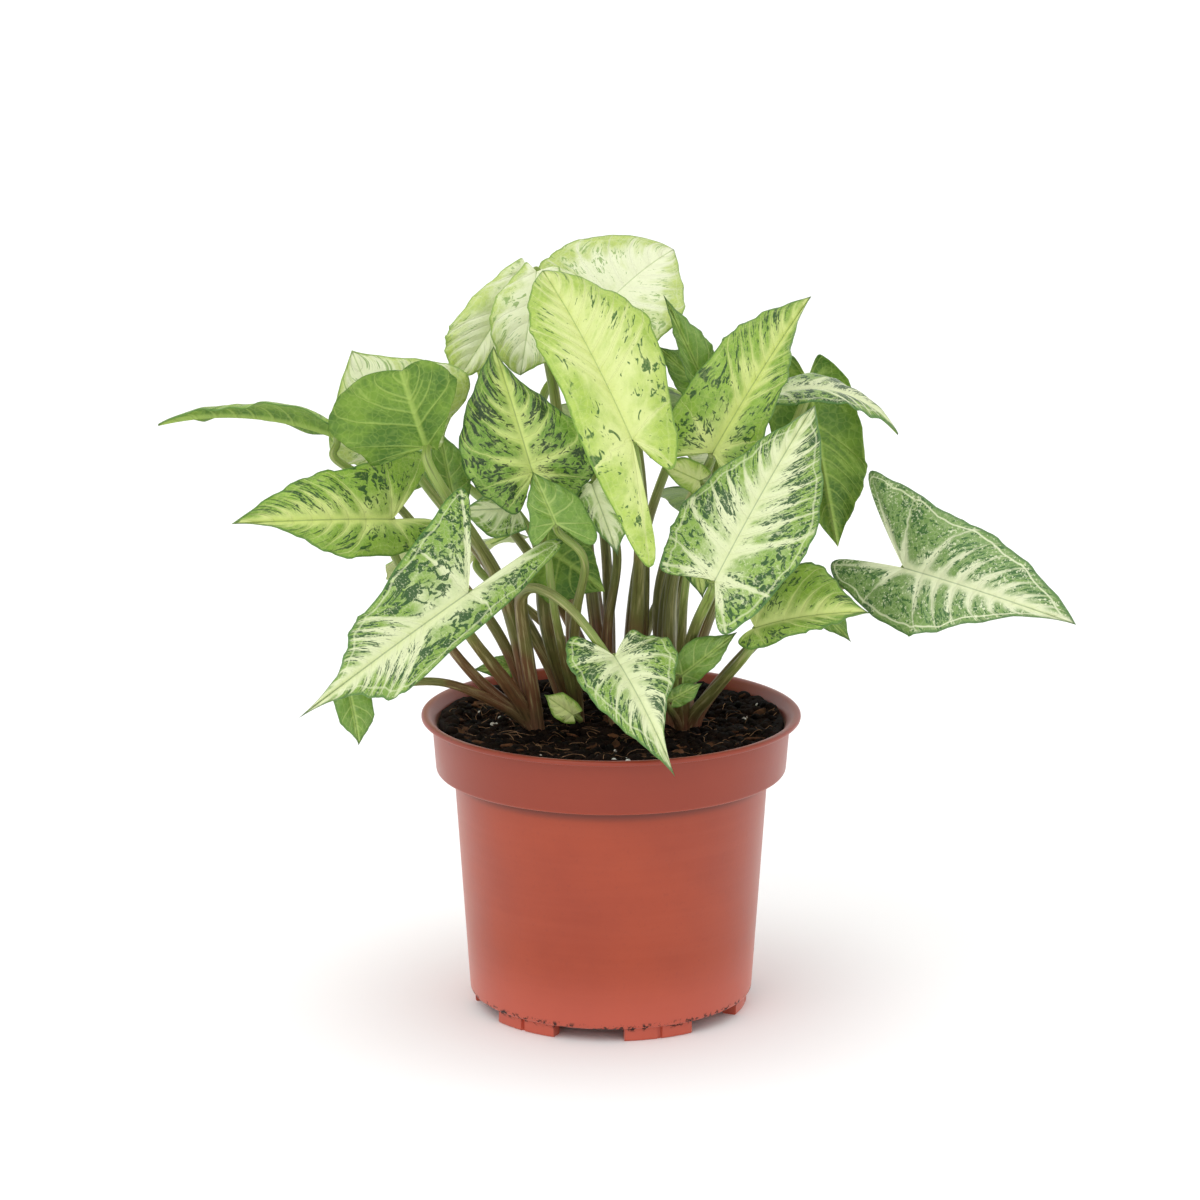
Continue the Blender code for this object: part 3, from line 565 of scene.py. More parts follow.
peat = grainy_finish("moist_peat", (7, 5, 4), (36, 24, 18))
soil = in_scene("potting_mix_body", soil_mesh())
soil.data.materials.append(peat)
put_on(soil, "potting_mix", "potting_mix")
print("lowest place along the x axis:", round(min(soil_height(x, 0) for x in range(-54, 55)), 2), "mm")


# %% [markdown]
# ## Crumbs, bark, perlite and fibres
#
# What makes the mix look real is the loose stuff on top. Geometry Nodes holds one rule for it, and the named inputs
# hold the numbers of each kind: how many, how large, how flat and how lumpy.

# %% Scatter rule for loose pieces
SCATTER_RADIUS = 52.3
SCATTER_DEPTH = 4.0
SIZE_SALT = 7.0
TURN_SALT = 19.0
TILT = 0.5


def scatter_tree(detail):
    """Builds the rule: points on the top of the mix, a lump on each, then every lump pushed out of shape."""
    rule = Rule("loose_mix", How_many=100.0, Smallest=0.5 * MM, Largest=2.0 * MM, Flatness=0.7, Stretch=1.0,
                Lumpiness=0.5 * MM, Noise_scale=500.0, Seed=1, Finish=None)
    given = rule.given
    place = rule.geo("InputPosition")
    x, y, z = rule.parts(place)
    upward = rule.math("GREATER_THAN", rule.parts(rule.geo("InputNormal"))[2], 0.4)
    high = rule.math("GREATER_THAN", z, (SOIL_LEVEL - SCATTER_DEPTH) * MM)
    radius = rule.math("SQRT", rule.plus(rule.math("POWER", x, 2.0), rule.math("POWER", y, 2.0)))
    on_top = rule.times(rule.times(upward, high), rule.math("LESS_THAN", radius, SCATTER_RADIUS * MM))
    points = rule.geo("DistributePointsOnFaces", {"Mesh": given["Geometry"], "Selection": on_top,
                                                  "Density": given["How many"], "Seed": given["Seed"]})
    lump = rule.geo("MeshIcoSphere", {"Radius": 1.0, "Subdivisions": detail})
    flat = rule.node("ShaderNodeCombineXYZ", (given["Stretch"], 1.0, given["Flatness"]))
    chip = rule.geo("Transform", {"Geometry": lump, "Scale": flat})
    size_seed, turn_seed = (rule.plus(given["Seed"], salt) for salt in (SIZE_SALT, TURN_SALT))
    size = rule.node("FunctionNodeRandomValue", {2: given["Smallest"], 3: given["Largest"], "Seed": size_seed},
                     data_type="FLOAT").outputs[1]
    turn = rule.node("FunctionNodeRandomValue", {0: (-TILT, -TILT, 0.0), 1: (TILT, TILT, math.tau),
                                                 "Seed": turn_seed}, data_type="FLOAT_VECTOR")
    placed = rule.geo("InstanceOnPoints", {"Points": points, "Instance": chip, "Rotation": turn, "Scale": size})
    cloud = rule.node("ShaderNodeTexNoise", {"Vector": place, "Scale": given["Noise scale"], "Detail": 1.0})
    centred = rule.node("ShaderNodeVectorMath", (cloud.outputs["Color"], (0.5, 0.5, 0.5)), operation="SUBTRACT")
    push = rule.node("ShaderNodeVectorMath", {0: centred, "Scale": given["Lumpiness"]}, operation="SCALE")
    real = rule.geo("RealizeInstances", (placed,))
    shaped = rule.geo("SetPosition", {"Geometry": real, "Offset": push})
    return rule.close(rule.geo("SetShadeSmooth", (shaped,)))


def scatter(name, tree, per_square_cm, smallest, largest, lumpiness, **values):
    """Scatters one kind of loose piece over the mix and leaves it as a plain mesh."""
    piece = carried_out(in_scene(name + "_maker", soil.data.copy()), name, tree, How_many=per_square_cm * 1e4,
                        Smallest=smallest * MM, Largest=largest * MM, Lumpiness=lumpiness * MM, **values)
    put_on(piece, "potting_mix")
    print(name, "triangles:", triangles(piece))


fine_tree, lump_tree = scatter_tree(1), scatter_tree(2)
print("nodes in the scatter rule:", len(lump_tree.nodes))


# %% [markdown]
# Four kinds share the rule. Dust and crumbs are many and small, bark is long and flat, and perlite is white.

# %% Scatter the four kinds
bark = grainy_finish("bark_chips", (42, 26, 17), (116, 78, 54), 0.6)
crumb_brown = grainy_finish("peat_crumbs", (6, 4, 3), (60, 39, 28), 0.8)
perlite = grainy_finish("perlite_grains", (206, 200, 188), (248, 246, 242), 1.0, 0.8)
scatter("peat_dust", fine_tree, 30.0, 0.25, 0.75, 0.5, Seed=3, Finish=crumb_brown)
scatter("peat_crumbs", lump_tree, 11.0, 0.6, 2.3, 1.4, Seed=5, Finish=peat, Noise_scale=420.0)
scatter("bark_chips", lump_tree, 1.1, 0.8, 2.2, 0.9, Seed=8, Finish=bark, Flatness=0.35, Stretch=1.9)
scatter("perlite_grains", lump_tree, 0.6, 0.35, 0.95, 0.6, Seed=11, Finish=perlite, Flatness=0.8)


# %% [markdown]
# ## Peat fibres
#
# Thin root fibres curl over the mix. Their lines are drawn at random with a fixed seed and lie on the mix because
# they ask the same height rule. Geometry Nodes gives all of them a round skin at once.

# %% Fibres with a skin from Geometry Nodes
FIBRE_COUNT = 170
FIBRE_RADIUS = 0.11
FIBRE_POINTS = 9
FIBRE_SPREAD = 50.0
FIBRE_LIMIT = 53.0
FIBRE_SEED = 21


def line_object(name, lines, radii):
    """Makes a curve object from lines in millimetres with a radius at every point."""
    data = bpy.data.curves.new(name, "CURVE")
    data.dimensions = "3D"
    for line, widths in zip(lines, radii):
        spline = data.splines.new("POLY")
        spline.points.add(len(line) - 1)
        for point, place, width in zip(spline.points, line, widths):
            point.co = (*(float(c) * MM for c in place), 1.0)
            point.radius = float(width)
    return in_scene(name, data)


def skin_tree():
    """Builds the rule that turns lines into round skins. It keeps each point's share of its line and ring."""
    rule = Rule("skin_on_lines", Sides=8, Finish=None)
    share = rule.geo("SplineParameter").outputs["Factor"]

    def marked(curve, name):
        return rule.geo("StoreNamedAttribute", {"Geometry": curve, "Name": name, "Value": share},
                        data_type="FLOAT", domain="POINT")

    line = marked(rule.given["Geometry"], "along")
    ring = marked(rule.geo("CurvePrimitiveCircle", {"Resolution": rule.given["Sides"], "Radius": MM}), "around")
    skin = rule.geo("CurveToMesh", {"Curve": line, "Profile Curve": ring, "Scale": rule.geo("InputRadius"),
                                    "Fill Caps": True})
    return rule.close(rule.geo("SetShadeSmooth", (skin,)))


def fibre_lines(draw):
    lines = []
    for _ in range(FIBRE_COUNT):
        radius = math.sqrt(draw.random()) * FIBRE_SPREAD
        angle = draw.uniform(0.0, math.tau)
        x, y = radius * math.cos(angle), radius * math.sin(angle)
        way = draw.uniform(0.0, math.tau)
        step = draw.uniform(0.5, 1.3)
        turn = draw.uniform(-0.25, 0.25)
        line = []
        for k in range(FIBRE_POINTS):
            rise = 0.5 + 0.9 * math.sin(math.pi * k / (FIBRE_POINTS - 1))
            line.append((x, y, soil_height(x, y) + rise))
            way += turn + draw.uniform(-0.35, 0.35)
            x += step * math.cos(way)
            y += step * math.sin(way)
            if math.hypot(x, y) > FIBRE_LIMIT:
                x, y = x * 0.97, y * 0.97
        lines.append(line)
    return lines


skins = skin_tree()
straw = grainy_finish("peat_fibres", (78, 54, 38), (158, 124, 94), 0.5)
fibre_maker = line_object("fibre_maker", fibre_lines(random.Random(FIBRE_SEED)),
                          [[FIBRE_RADIUS] * FIBRE_POINTS] * FIBRE_COUNT)
fibres = carried_out(fibre_maker, "peat_fibres", skins, Sides=5, Finish=straw)
put_on(fibres, "potting_mix")
print("fibres:", FIBRE_COUNT, "triangles:", triangles(fibres))


# %% [markdown]
# ## What each leaf measures
#
# Every leaf is a row of sizes that a person could take with a ruler. The solid model is made from the same sizes, so
# the fine blades lie exactly where the plain ones lie.

# %% Leaf sizes
@dataclass
class Leaf:
    """One blade and its stalk.

    base is where the stalk joins, tip the drip tip and facing the way that the upper face looks. The other sizes lie
    in the blade's own plane, seen on the upper face with the tip up: left and right are the widest points, as reach
    from the midrib and level above the base, and the lobes end at a reach and a length behind the base. Pairs of
    shape numbers are for left and right. The stalk passes the places of via, three numbers each, and stalk is its
    radius below and above.
    """

    name: str
    finish: str
    crown: str
    base: tuple
    tip: tuple
    facing: tuple
    left: tuple
    right: tuple
    left_lobe: tuple
    right_lobe: tuple
    via: tuple = ()
    stalk: tuple = (1.9, 1.1)
    arch: tuple = (0.08,)
    fold: tuple = (0.1,)
    full: tuple = (0.2, 0.2)
    acute: tuple = (0.22, 0.22)
    lobe_width: tuple = (0.3, 0.3)
    belly: tuple = (1.0, 1.0)
    hug: tuple = (0.3, 0.3)


def leaf_from(row):
    """Reads a leaf from a row: three names, seven places and sizes, then what differs from the usual shape."""
    names, *cells = (cell.split() for cell in row.split(","))
    sizes = [tuple(map(float, cell)) for cell in cells[:7]]
    return Leaf(*names, *sizes, **{key: tuple(map(float, values)) for key, *values in cells[7:]})


LEAVES = [leaf_from(row) for row in """
top cream mid, -2 12 223, 20 34 237, 0 -0.78 0.62, 23 3, 22 8, 23 8, 16 10, via 10 4 130 9 8 177 0 13 210,
  stalk 2.2 1.1, full 0.4 0.3, acute 0.1 0.2;
top_left cream mid_left, -26 10 234, -48 -1 201, 0.15 -0.94 0.3, 9 26, 11 28, 5 3, 4 2,
  via -12 14 127 -17 18 191 -24 18 222, stalk 2.2 1.2, full 0.35 0.75, acute 0.15 0.1, belly 1 0.7;
top_left_inner cream mid, -23 -4 236, -28 -7 204, 0 -0.99 0.12, 12 22, 12 15, 7 2, 4 2,
  via -6 6 126 -10 4 187 -18 5 224, stalk 2 1.1, full 0.4 0.65, acute 0.15 0.05;
front_centre lime mid, 6 -57 194, -21 -21 239, 0.02 -0.77 0.63, 14 36, 20 28, 12 38, 8 13, via 8 -4 125 9 -28 162,
  stalk 2.4 1.3, full 0.7 0.5, acute 0.1 0.1, lobe_width 0.14 0.35, belly 0.5 0.4;
front_left mottled mid_left, -24 -30 178, -36 -17 215, 0 -0.91 0.42, 20 9, 20 1, 11 9, 8 12,
  via -22 -4 129 -20 -15 156, stalk 2.4 1.2, full 0.3 0, acute 0.15 0.35, lobe_width 0.5 0.3;
under_front_left panelled mid_left, -29 -20 165, -47 -20 164, 0 -0.96 0.27, 9 7, 5 7, 7 2, 4 3,
  via -20 2 127 -23 -10 152, stalk 1.6 1;
under_centre panelled mid, -6 -27 174, 2 -34 153, 0 -0.95 0.3, 8 14, 5 9, 6 2, 5 2, via -2 2 120 3 -8 149,
  stalk 1.8 1;
far_left underside left, -84 -20 188, -138 -28 193, 0.1 0.36 0.93, 13 24, 13 26, 5 4, 5 4,
  via -34 -4 120 -52 -12 146 -70 -16 170, stalk 1.6 1.1, full 0.3 0.4;
left_round underside left, -56 -34 187, -63 -42 212, 0 0.97 0.26, 15 19, 27 13, 3 1.5, 19 2,
  via -32 -12 135 -45 -33 163, stalk 2.6 1.2, arch -0.05, full 0.65 0.65, acute -0.18 -0.18, lobe_width 0.5 0.2,
  belly 0.2 0.8;
left_cream cream mid_left, -67 -8 183, -80 -8 212, 0 -1 0, 19 4, 30 11, 13 3, 14 6,
  via -23 14 114 -44 4 149 -58 -1 168, full 0.35 0.3;
left_inner underside mid_left, -50 11 163, -54 14 183, 0 -0.99 0.13, 7 9, 7 9, 4 2, 5 2, via -26 16 120 -42 18 144,
  stalk 1.6 1;
left_low speckled left, -67 -27 163, -114 -52 167, 0.47 -0.83 0.3, 12 16, 15 20, 3 17, 20 12,
  via -41 -12 107 -58 -22 133, stalk 1.7 1.1, full 0 0.5, acute 0.35 0.2;
front_low_left panelled left, -43 -57 147, -92 -90 117, 0.28 -0.84 0.47, 13 38, 13 34, 4 37, 27 19,
  via -35 -14 111 -45 -34 130, stalk 2.2 1.2, full 0.2 0.15, acute 0.35 0.4, lobe_width 0.15 0.16, belly 0.15 0.25;
under_low_left green left, -79 -62 118, -76 -66 102, 0.17 -0.83 0.53, 6 8, 5 8, 4 3, 4 3, via -44 -16 106 -58 -34 114,
  stalk 1.5 1, full 0.4 0.1;
small_centre green mid_left, -17 -42 165, -24 -37 180, 0 -0.95 0.31, 6 7, 10 2, 9 3, 9 10, via -12 -18 129 -7 -31 151,
  stalk 1.6 1;
shaded_centre underside mid_left, -20 -19 152, -2 -17 138, 0 0.99 0.15, 15 12, 9 8, 12 4, 7 4,
  via -15 -12 117 -18 -28 137, stalk 1.6 1, full 0.3 0.3;
over_rim panelled left, 1 -44 124, 19 -68 93, 0 -0.8 0.61, 17 6, 14 8, 10 5, 11 11,
  via -28 -18 131 -27 -27 140 -22 -34 143 -11 -40 137, stalk 2 1.1, arch 0.12, full 0 0.2, acute 0.5 0.2,
  lobe_width 0.4 0.4, belly 1.2 0.8;
upper_right speckled right, 31 -23 183, 62 4 227, 0 -0.86 0.51, 15 30, 9 26, 16 11, 12 5, via 18 0 131 24 -8 164,
  stalk 2.2 1.2, full 0.55 0.1, acute 0.22 0.35, lobe_width 0.1 0.4, belly 0.5 0.8;
right_level panelled right, 50 8 195, 90 8 183, 0 -0.1 1, 15 17, 13 20, 8 6, 8 5, via 14 14 127 25 14 160 42 12 187,
  stalk 2 1.2, arch 0.16, fold 0.02, full 0.4 0.2;
front_right panelled right, 31 -54 150, 62 -24 198, 0 -0.85 0.53, 19 12, 21 20, 17 3, 11 13, via 24 -14 120,
  stalk 2.2 1.3, full 0.15 0.35, acute 0.2 0.15, belly 1 0.4;
low_right speckled right, 44 -32 130, 78 -45 138, -0.4 -0.69 0.6, 17 20, 6 18, 12 3, 5 5, via 32 -10 104 41 -26 119,
  stalk 1.8 1.1, full 0.3 0.3, lobe_width 0.3 0.4;
under_low_right green right, 59 -5 135, 75 -10 120, 0 -0.95 0.32, 7 11, 4 10, 4 4, 4 3, via 35 4 104 53 2 124,
  stalk 1.5 1;
behind_front_right mottled right, 25 -27 154, 28 -31 139, 0 -0.97 0.26, 6 8, 5 5, 4 2, 4 2, via 22 -8 120 23 -20 142,
  stalk 1.5 1;
far_right veined right, 91 -11 144, 141 -44 134, -0.44 -0.79 0.42, 19 16, 20 12, 26 24, 6 26,
  via 32 4 100 50 8 120 76 9 136, stalk 2 1.2, full 0.45 0.08, acute 0.12 0.4, lobe_width 0.12 0.16, belly 0.25 0.6,
  hug 0.3 0.12;
right_hanging underside right, 63 40 194, 74 51 137, 0 0.98 0.19, 15 24, 14 30, 5 9, 6 7, via 28 20 113 48 36 155,
  stalk 2 1.2, arch -0.05, full 0.4 0.4;
young_upright green right, 32 -3 194, 16 2 228, 0 -0.99 0.13, 4 12, 7 16, 4 2, 4 3, via 16 6 129 28 6 168,
  stalk 1.7 1;
young_green green right, 32 11 194, 14 13 210, 0 -0.99 0.13, 6 8, 7 12, 5 2, 4 3, via 19 12 128 30 16 169,
  stalk 1.7 1;
young_cream cream right, 32 0 177, 19 2 193, 0 -0.99 0.12, 6 11, 7 12, 5 2, 4 3, via 20 4 130 30 2 162, stalk 1.6 1;
young_lime lime right, 27 -22 174, 14 -21 180, 0 -0.99 0.12, 4 4, 5 6, 4 2, 4 2, via 18 -6 132 25 -15 159,
  stalk 1.6 1;
soil_lime lime mid_left, -12 -12 97, -21 -10 103, 0 -0.96 0.27, 4 4, 4 6, 2 2, 3 1.5, via -12 -2 95, stalk 1.2 0.8;
soil_left green left, -27 2 109, -44 2 108, 0 -0.98 0.2, 3 8, 4 8, 1.5 2, 3 2, via -24 2 104, stalk 1.3 0.8;
soil_right green right, 22 -28 114, 39 -25 127, 0 -0.98 0.18, 7 8, 4 9, 3 2, 3 2, stalk 1.3 0.8;
soil_right_small green right, 19 -35 108, 28 -34 113, 0 -0.97 0.22, 3 4, 3 5, 2 1.5, 2 1.5, stalk 1.2 0.8;
back_centre lime back, -8 40 182, -36 89 150, -0.11 0.5 0.86, 22 23, 24 28, 16 12, 12 14, via -1 30 140;
back_right_high speckled back, 24 43 188, 40 90 158, 0 0.54 0.84, 21 28, 20 24, 8 18, 16 18, via 9 33 142;
back_right_low panelled back, 32 50 154, 52 90 124, 0.02 0.59 0.81, 19 26, 18 24, 8 15, 15 9, via 14 38 120;
back_left_high speckled back, -48 40 168, -76 81 144, -0.15 0.42 0.89, 20 18, 22 26, 16 15, 9 14,
  via -18 26 128 -36 24 154;
back_left_low lime back, -44 40 138, -70 86 106, -0.29 0.43 0.85, 20 21, 22 30, 16 17, 10 14, via -18 37 112;
back_top cream back, -16 39 206, -44 86 186, -0.31 0.21 0.93, 22 23, 21 26, 14 11, 8 15, via -8 24 150 -24 21 188
""".split(";")]
print("leaves:", len(LEAVES), "of", len({leaf.finish for leaf in LEAVES}), "finishes")


# %% [markdown]
# ## The outline of a half blade
#
# An arrowhead leaf is a narrow shield with two lobes that point back past the stalk. Each half has its own numbers
# and three curves: from the tip to the widest point, on to the end of the lobe, and back in to the stalk.

# %% Blade outline
MIDRIB_SHARE = 0.27
TIP_STEPS, LOBE_STEPS, SINUS_STEPS = 26, 16, 10


def unit(v):
    v = np.asarray(v, float)
    return v / np.linalg.norm(v)


def bezier(p0, p1, p2, p3, steps):
    t = np.linspace(0.0, 1.0, steps + 1)[:, None]
    s = 1.0 - t
    return s**3 * p0 + 3 * s * s * t * p1 + 3 * s * t * t * p2 + t**3 * p3


def blade_length(leaf):
    return float(np.linalg.norm(np.subtract(leaf.tip, leaf.base)))


def blade_axes(leaf):
    """Returns a blade's unit directions: across to its right, along to its tip, and up from its upper face."""
    along = unit(np.subtract(leaf.tip, leaf.base))
    facing = np.array(leaf.facing, float)
    upper = unit(facing - along * (facing @ along))
    return np.cross(along, upper), along, upper


def half_outline(leaf, side):
    """Returns one half's flat edge from the tip round the lobe to the sinus, and the share of the midrib that each
    edge point faces."""
    length = blade_length(leaf)
    tip = np.array((0.0, length))
    widest = np.array((leaf.left, leaf.right)[side], float)
    lobe_end = np.array((leaf.left_lobe, leaf.right_lobe)[side], float) * (1, -1)
    reach = np.array((widest[0], 0.0))
    lobe_way = unit(lobe_end)
    outward = unit(reach - lobe_way * (reach @ lobe_way))
    width = leaf.lobe_width[side] * np.linalg.norm(lobe_end)
    span = np.linalg.norm(lobe_end - widest)
    overhang = (widest - lobe_end) @ outward
    belly = leaf.belly[side]
    level = widest[1] / length
    tip_side = bezier(tip, tip * (1 - leaf.acute[side]) + reach * leaf.full[side],
                      widest + tip * leaf.hug[side] * (1 - level) + reach * 0.02, widest, TIP_STEPS)
    lobe_side = bezier(widest, widest - (0.0, span * 0.4 * belly),
                       lobe_end + outward * max(width * 0.8, 0.45 * belly * overhang), lobe_end, LOBE_STEPS)
    inner_side = bezier(lobe_end, lobe_end - outward * width * 0.9, lobe_end * 0.45 - outward * width * 0.25,
                        np.zeros(2), SINUS_STEPS)
    edge = np.vstack([tip_side, lobe_side[1:], inner_side[1:]])
    half_lobe = LOBE_STEPS // 2
    faced = MIDRIB_SHARE * (leaf.left[1] + leaf.right[1]) / length
    shares = np.zeros(len(edge))
    shares[: TIP_STEPS + 1] = np.linspace(1.0, faced, TIP_STEPS + 1)
    shares[TIP_STEPS: TIP_STEPS + half_lobe + 1] = np.linspace(faced, 0.0, half_lobe + 1)
    return edge, shares


print("longest blade:", round(max(blade_length(leaf) for leaf in LEAVES), 1), "mm")


# %% [markdown]
# ## Side veins and a living edge
#
# Side veins leave the midrib at even steps, and a few more run into the lobe. Their numbers are kept along the edge,
# so a whole number is a vein. The edge itself is moved in and out a little, as no living edge is a clean curve.

# %% Veins and edge
SAME_POINT = 1e-6
VEIN_STEP = 7.5
LOBE_VEINS = 2
EDGE_NIBBLE = 0.3
EDGE_NIBBLE_TURNS = (7.3, 15.7)
FULL_NIBBLE_LENGTH = 42.0


def vein_numbers(leaf):
    """Returns the side-vein number at each edge point, and the number that belongs to the widest point."""
    count = max(4, round(blade_length(leaf) / VEIN_STEP))
    turns = ((0.0, count, TIP_STEPS), (count, count + LOBE_VEINS, LOBE_STEPS),
             (count + LOBE_VEINS, count + LOBE_VEINS + 1, SINUS_STEPS))
    parts = [np.linspace(first, last, steps + 1) for first, last, steps in turns]
    return np.concatenate([parts[0], parts[1][1:], parts[2][1:]]), count


def uneven_edge(leaf, side, edge, t):
    outward = np.gradient(edge, axis=0)[:, ::-1] * (-1, 1)
    outward /= np.maximum(np.linalg.norm(outward, axis=1), SAME_POINT)[:, None]
    slow, quick = (np.sin(math.tau * turns * t + leaf.tip[0] + 2 * side) for turns in EDGE_NIBBLE_TURNS)
    window = np.clip(np.minimum((t - 0.04) / 0.16, (0.8 - t) / 0.08), 0.0, 1.0)
    size = EDGE_NIBBLE * min(1.0, blade_length(leaf) / FULL_NIBBLE_LENGTH) ** 2
    return edge + outward * (size * window * (slow + 0.45 * quick))[:, None]


print("side veins on a 45 mm half:", round(45 / VEIN_STEP), "and", LOBE_VEINS, "more in its lobe")


# %% [markdown]
# ## Bending and thickening the blade
#
# The flat half becomes a living surface by adding lifts: an arch along the midrib, a fold like an open book, a soft
# bulge between midrib and edge, and waves that grow toward the edge. The midrib is a groove on the upper face and a
# ridge on the lower one. A blade is half a millimetre thick and thinner at its edge.
#
# For the finishes, some facts are kept with each point: its flat place, the number of its side vein, its share of
# the way from midrib to edge, the room between two veins, and its distances from the edge and from the midrib.

# %% Blade surface
BLADE_ROWS = (0.0, 0.022, 0.05, 0.1, 0.17, 0.26, 0.36, 0.47, 0.58, 0.69, 0.79, 0.88, 0.95, 1.0)
BULGE = 0.04
WAVE, WAVE_TURNS, WAVE_SHIFT = 0.02, 2.2, 1.7
EDGE_RIPPLE, EDGE_RIPPLE_TURNS = 0.009, 6.6
QUILT_HEIGHT, QUILT_REACH = 0.144, 6.0
GROOVE, GROOVE_WIDTH = 0.35, 0.75
RIDGE, RIDGE_WIDTH = 0.75, 1.0
RIB_FADE = 0.75
THICK, THIN_SHARE = 0.5, 0.45
VEIN_BEND = 1.5


def half_surface(leaf, side):
    """Returns the grids of one half: flat places, places on the upper face and under it, and the kept facts."""
    length = blade_length(leaf)
    across, along, upper = blade_axes(leaf)
    edge, shares = half_outline(leaf, side)
    t = np.linspace(0.0, 1.0, len(edge))
    edge = uneven_edge(leaf, side, edge, t)
    inner = np.stack([np.zeros(len(edge)), shares * length], axis=1)
    r = np.array(BLADE_ROWS)[:, None]
    flat = inner[None] * (1 - r[..., None]) + edge[None] * r[..., None]
    reach, level = flat[..., 0], flat[..., 1] / length
    window = np.where((t > 0) & (t < 1), np.abs(np.sin(np.pi * t)) ** 0.6, 0.0)
    veins, tip_veins = vein_numbers(leaf)
    lift = leaf.arch[0] * length * np.where(level > 0, 4 * level * (1 - level), 2 * level)
    lift = lift + leaf.fold[0] * reach + BULGE * length * 4 * r * (1 - r) * window
    lift += WAVE * length * r**1.5 * window * np.sin(math.tau * WAVE_TURNS * t + WAVE_SHIFT * side)
    lift += EDGE_RIPPLE * length * r**3 * window * np.sin(math.tau * EDGE_RIPPLE_TURNS * t + reach.max() + side)
    lift += QUILT_HEIGHT * np.minimum(1.0, reach / QUILT_REACH) * window * (1 - np.cos(math.tau * veins)) * (1 - r)
    from_rib = np.hypot(reach, np.minimum(flat[..., 1], 0.0))
    fade = 1 - RIB_FADE * np.clip(level, 0.0, 1.0)
    lift -= GROOVE * fade * np.exp(-((from_rib / GROOVE_WIDTH) ** 2))
    sign = 1.0 if side else -1.0
    top = np.array(leaf.base, float) + across * (reach * sign)[..., None] + along * flat[..., 1:] \
        + upper * lift[..., None]
    thick = THICK * (1 - THIN_SHARE * r**4) + RIDGE * fade * np.exp(-((from_rib / RIDGE_WIDTH) ** 2))
    under = top - upper * thick[..., None]

    rib_to_edge = np.linalg.norm(edge - inner, axis=1)
    way = (edge - inner) / np.maximum(rib_to_edge, SAME_POINT)[:, None]
    run = np.gradient(flat, axis=1) / np.maximum(np.gradient(veins), SAME_POINT)[None, :, None]
    spacing = np.abs(run[..., 0] * way[None, :, 1] - run[..., 1] * way[None, :, 0])
    bend = VEIN_BEND * r**1.5 * np.clip((tip_veins + 0.5 - veins) / 2, 0.0, 1.0)
    facts = np.stack([reach * sign, flat[..., 1], veins + bend, r + 0 * reach, spacing, (1 - r) * rib_to_edge,
                      r * rib_to_edge], axis=-1)
    return flat, top, under, facts


print("grid of one half:", len(BLADE_ROWS), "by", TIP_STEPS + LOBE_STEPS + SINUS_STEPS + 1)


# %% [markdown]
# ## One closed mesh for each blade
#
# The two halves share their points on the midrib, and a narrow band along the edge joins the two faces.

# %% Blade mesh
SEED_STEP = 31.0


def store(mesh, name, vectors):
    """Keeps a vector on every point of a mesh under a name that materials can read."""
    layer = mesh.attributes.new(name, "FLOAT_VECTOR", "POINT")
    layer.data.foreach_set("vector", np.asarray(vectors, np.float32).ravel())


def blade_mesh(leaf, number):
    """Makes the closed mesh of one blade, with its facts stored on its points."""
    index, top, under, facts, faces, edges = {}, [], [], [], [], []
    for side in (0, 1):
        flat, *grids = half_surface(leaf, side)
        grid = []
        for i in range(flat.shape[0]):
            row = []
            for j in range(flat.shape[1]):
                a, b = flat[i, j]
                key = (side if a > SAME_POINT else 0, round(float(a), 4), round(float(b), 4))
                if key not in index:
                    index[key] = len(top)
                    for kept, values in zip((top, under, facts), grids):
                        kept.append(values[i, j])
                row.append(index[key])
            grid.append(row)
        edges.append(grid[-1][:-1] + [row[-2] for row in grid[-2:0:-1]] + grid[-1][-1:])
        for near, far in zip(grid, grid[1:]):
            for j in range(len(near) - 2):
                corners = list(dict.fromkeys((near[j], near[j + 1], far[j + 1], far[j])))
                if len(corners) > 2:
                    faces.append(corners if side else corners[::-1])
    loop = edges[0] + edges[1][-2:0:-1]
    count = len(top)
    solid = faces + [[count + k for k in corners[::-1]] for corners in faces]
    solid += [(a, b, count + b, count + a) for a, b in zip(loop, loop[1:] + loop[:1])]
    mesh = solid_mesh("leaf_" + leaf.name, np.vstack([top, under]), solid)
    for k in range(len(faces), 2 * len(faces)):
        mesh.polygons[k].material_index = 1
    facts = np.vstack([facts, facts])
    seed = np.full((len(facts), 1), number * SEED_STEP)
    store(mesh, "leaf_flat", np.hstack([facts[:, :2], seed]))
    store(mesh, "leaf_vein", facts[:, 2:5])
    store(mesh, "leaf_edge", np.hstack([facts[:, 5:7], seed]))
    return mesh


print("facts kept with every point: leaf_flat, leaf_vein, leaf_edge")


# %% [markdown]
# ## Variegation
#
# The pale areas have little green pigment. They spread from the midrib and the side veins, break up into feathers
# and specks, and stop short of a thin green edge. So the finish is a rule, not a picture: near a vein means pale,
# far from one means green, and cloudy noise moves the border.

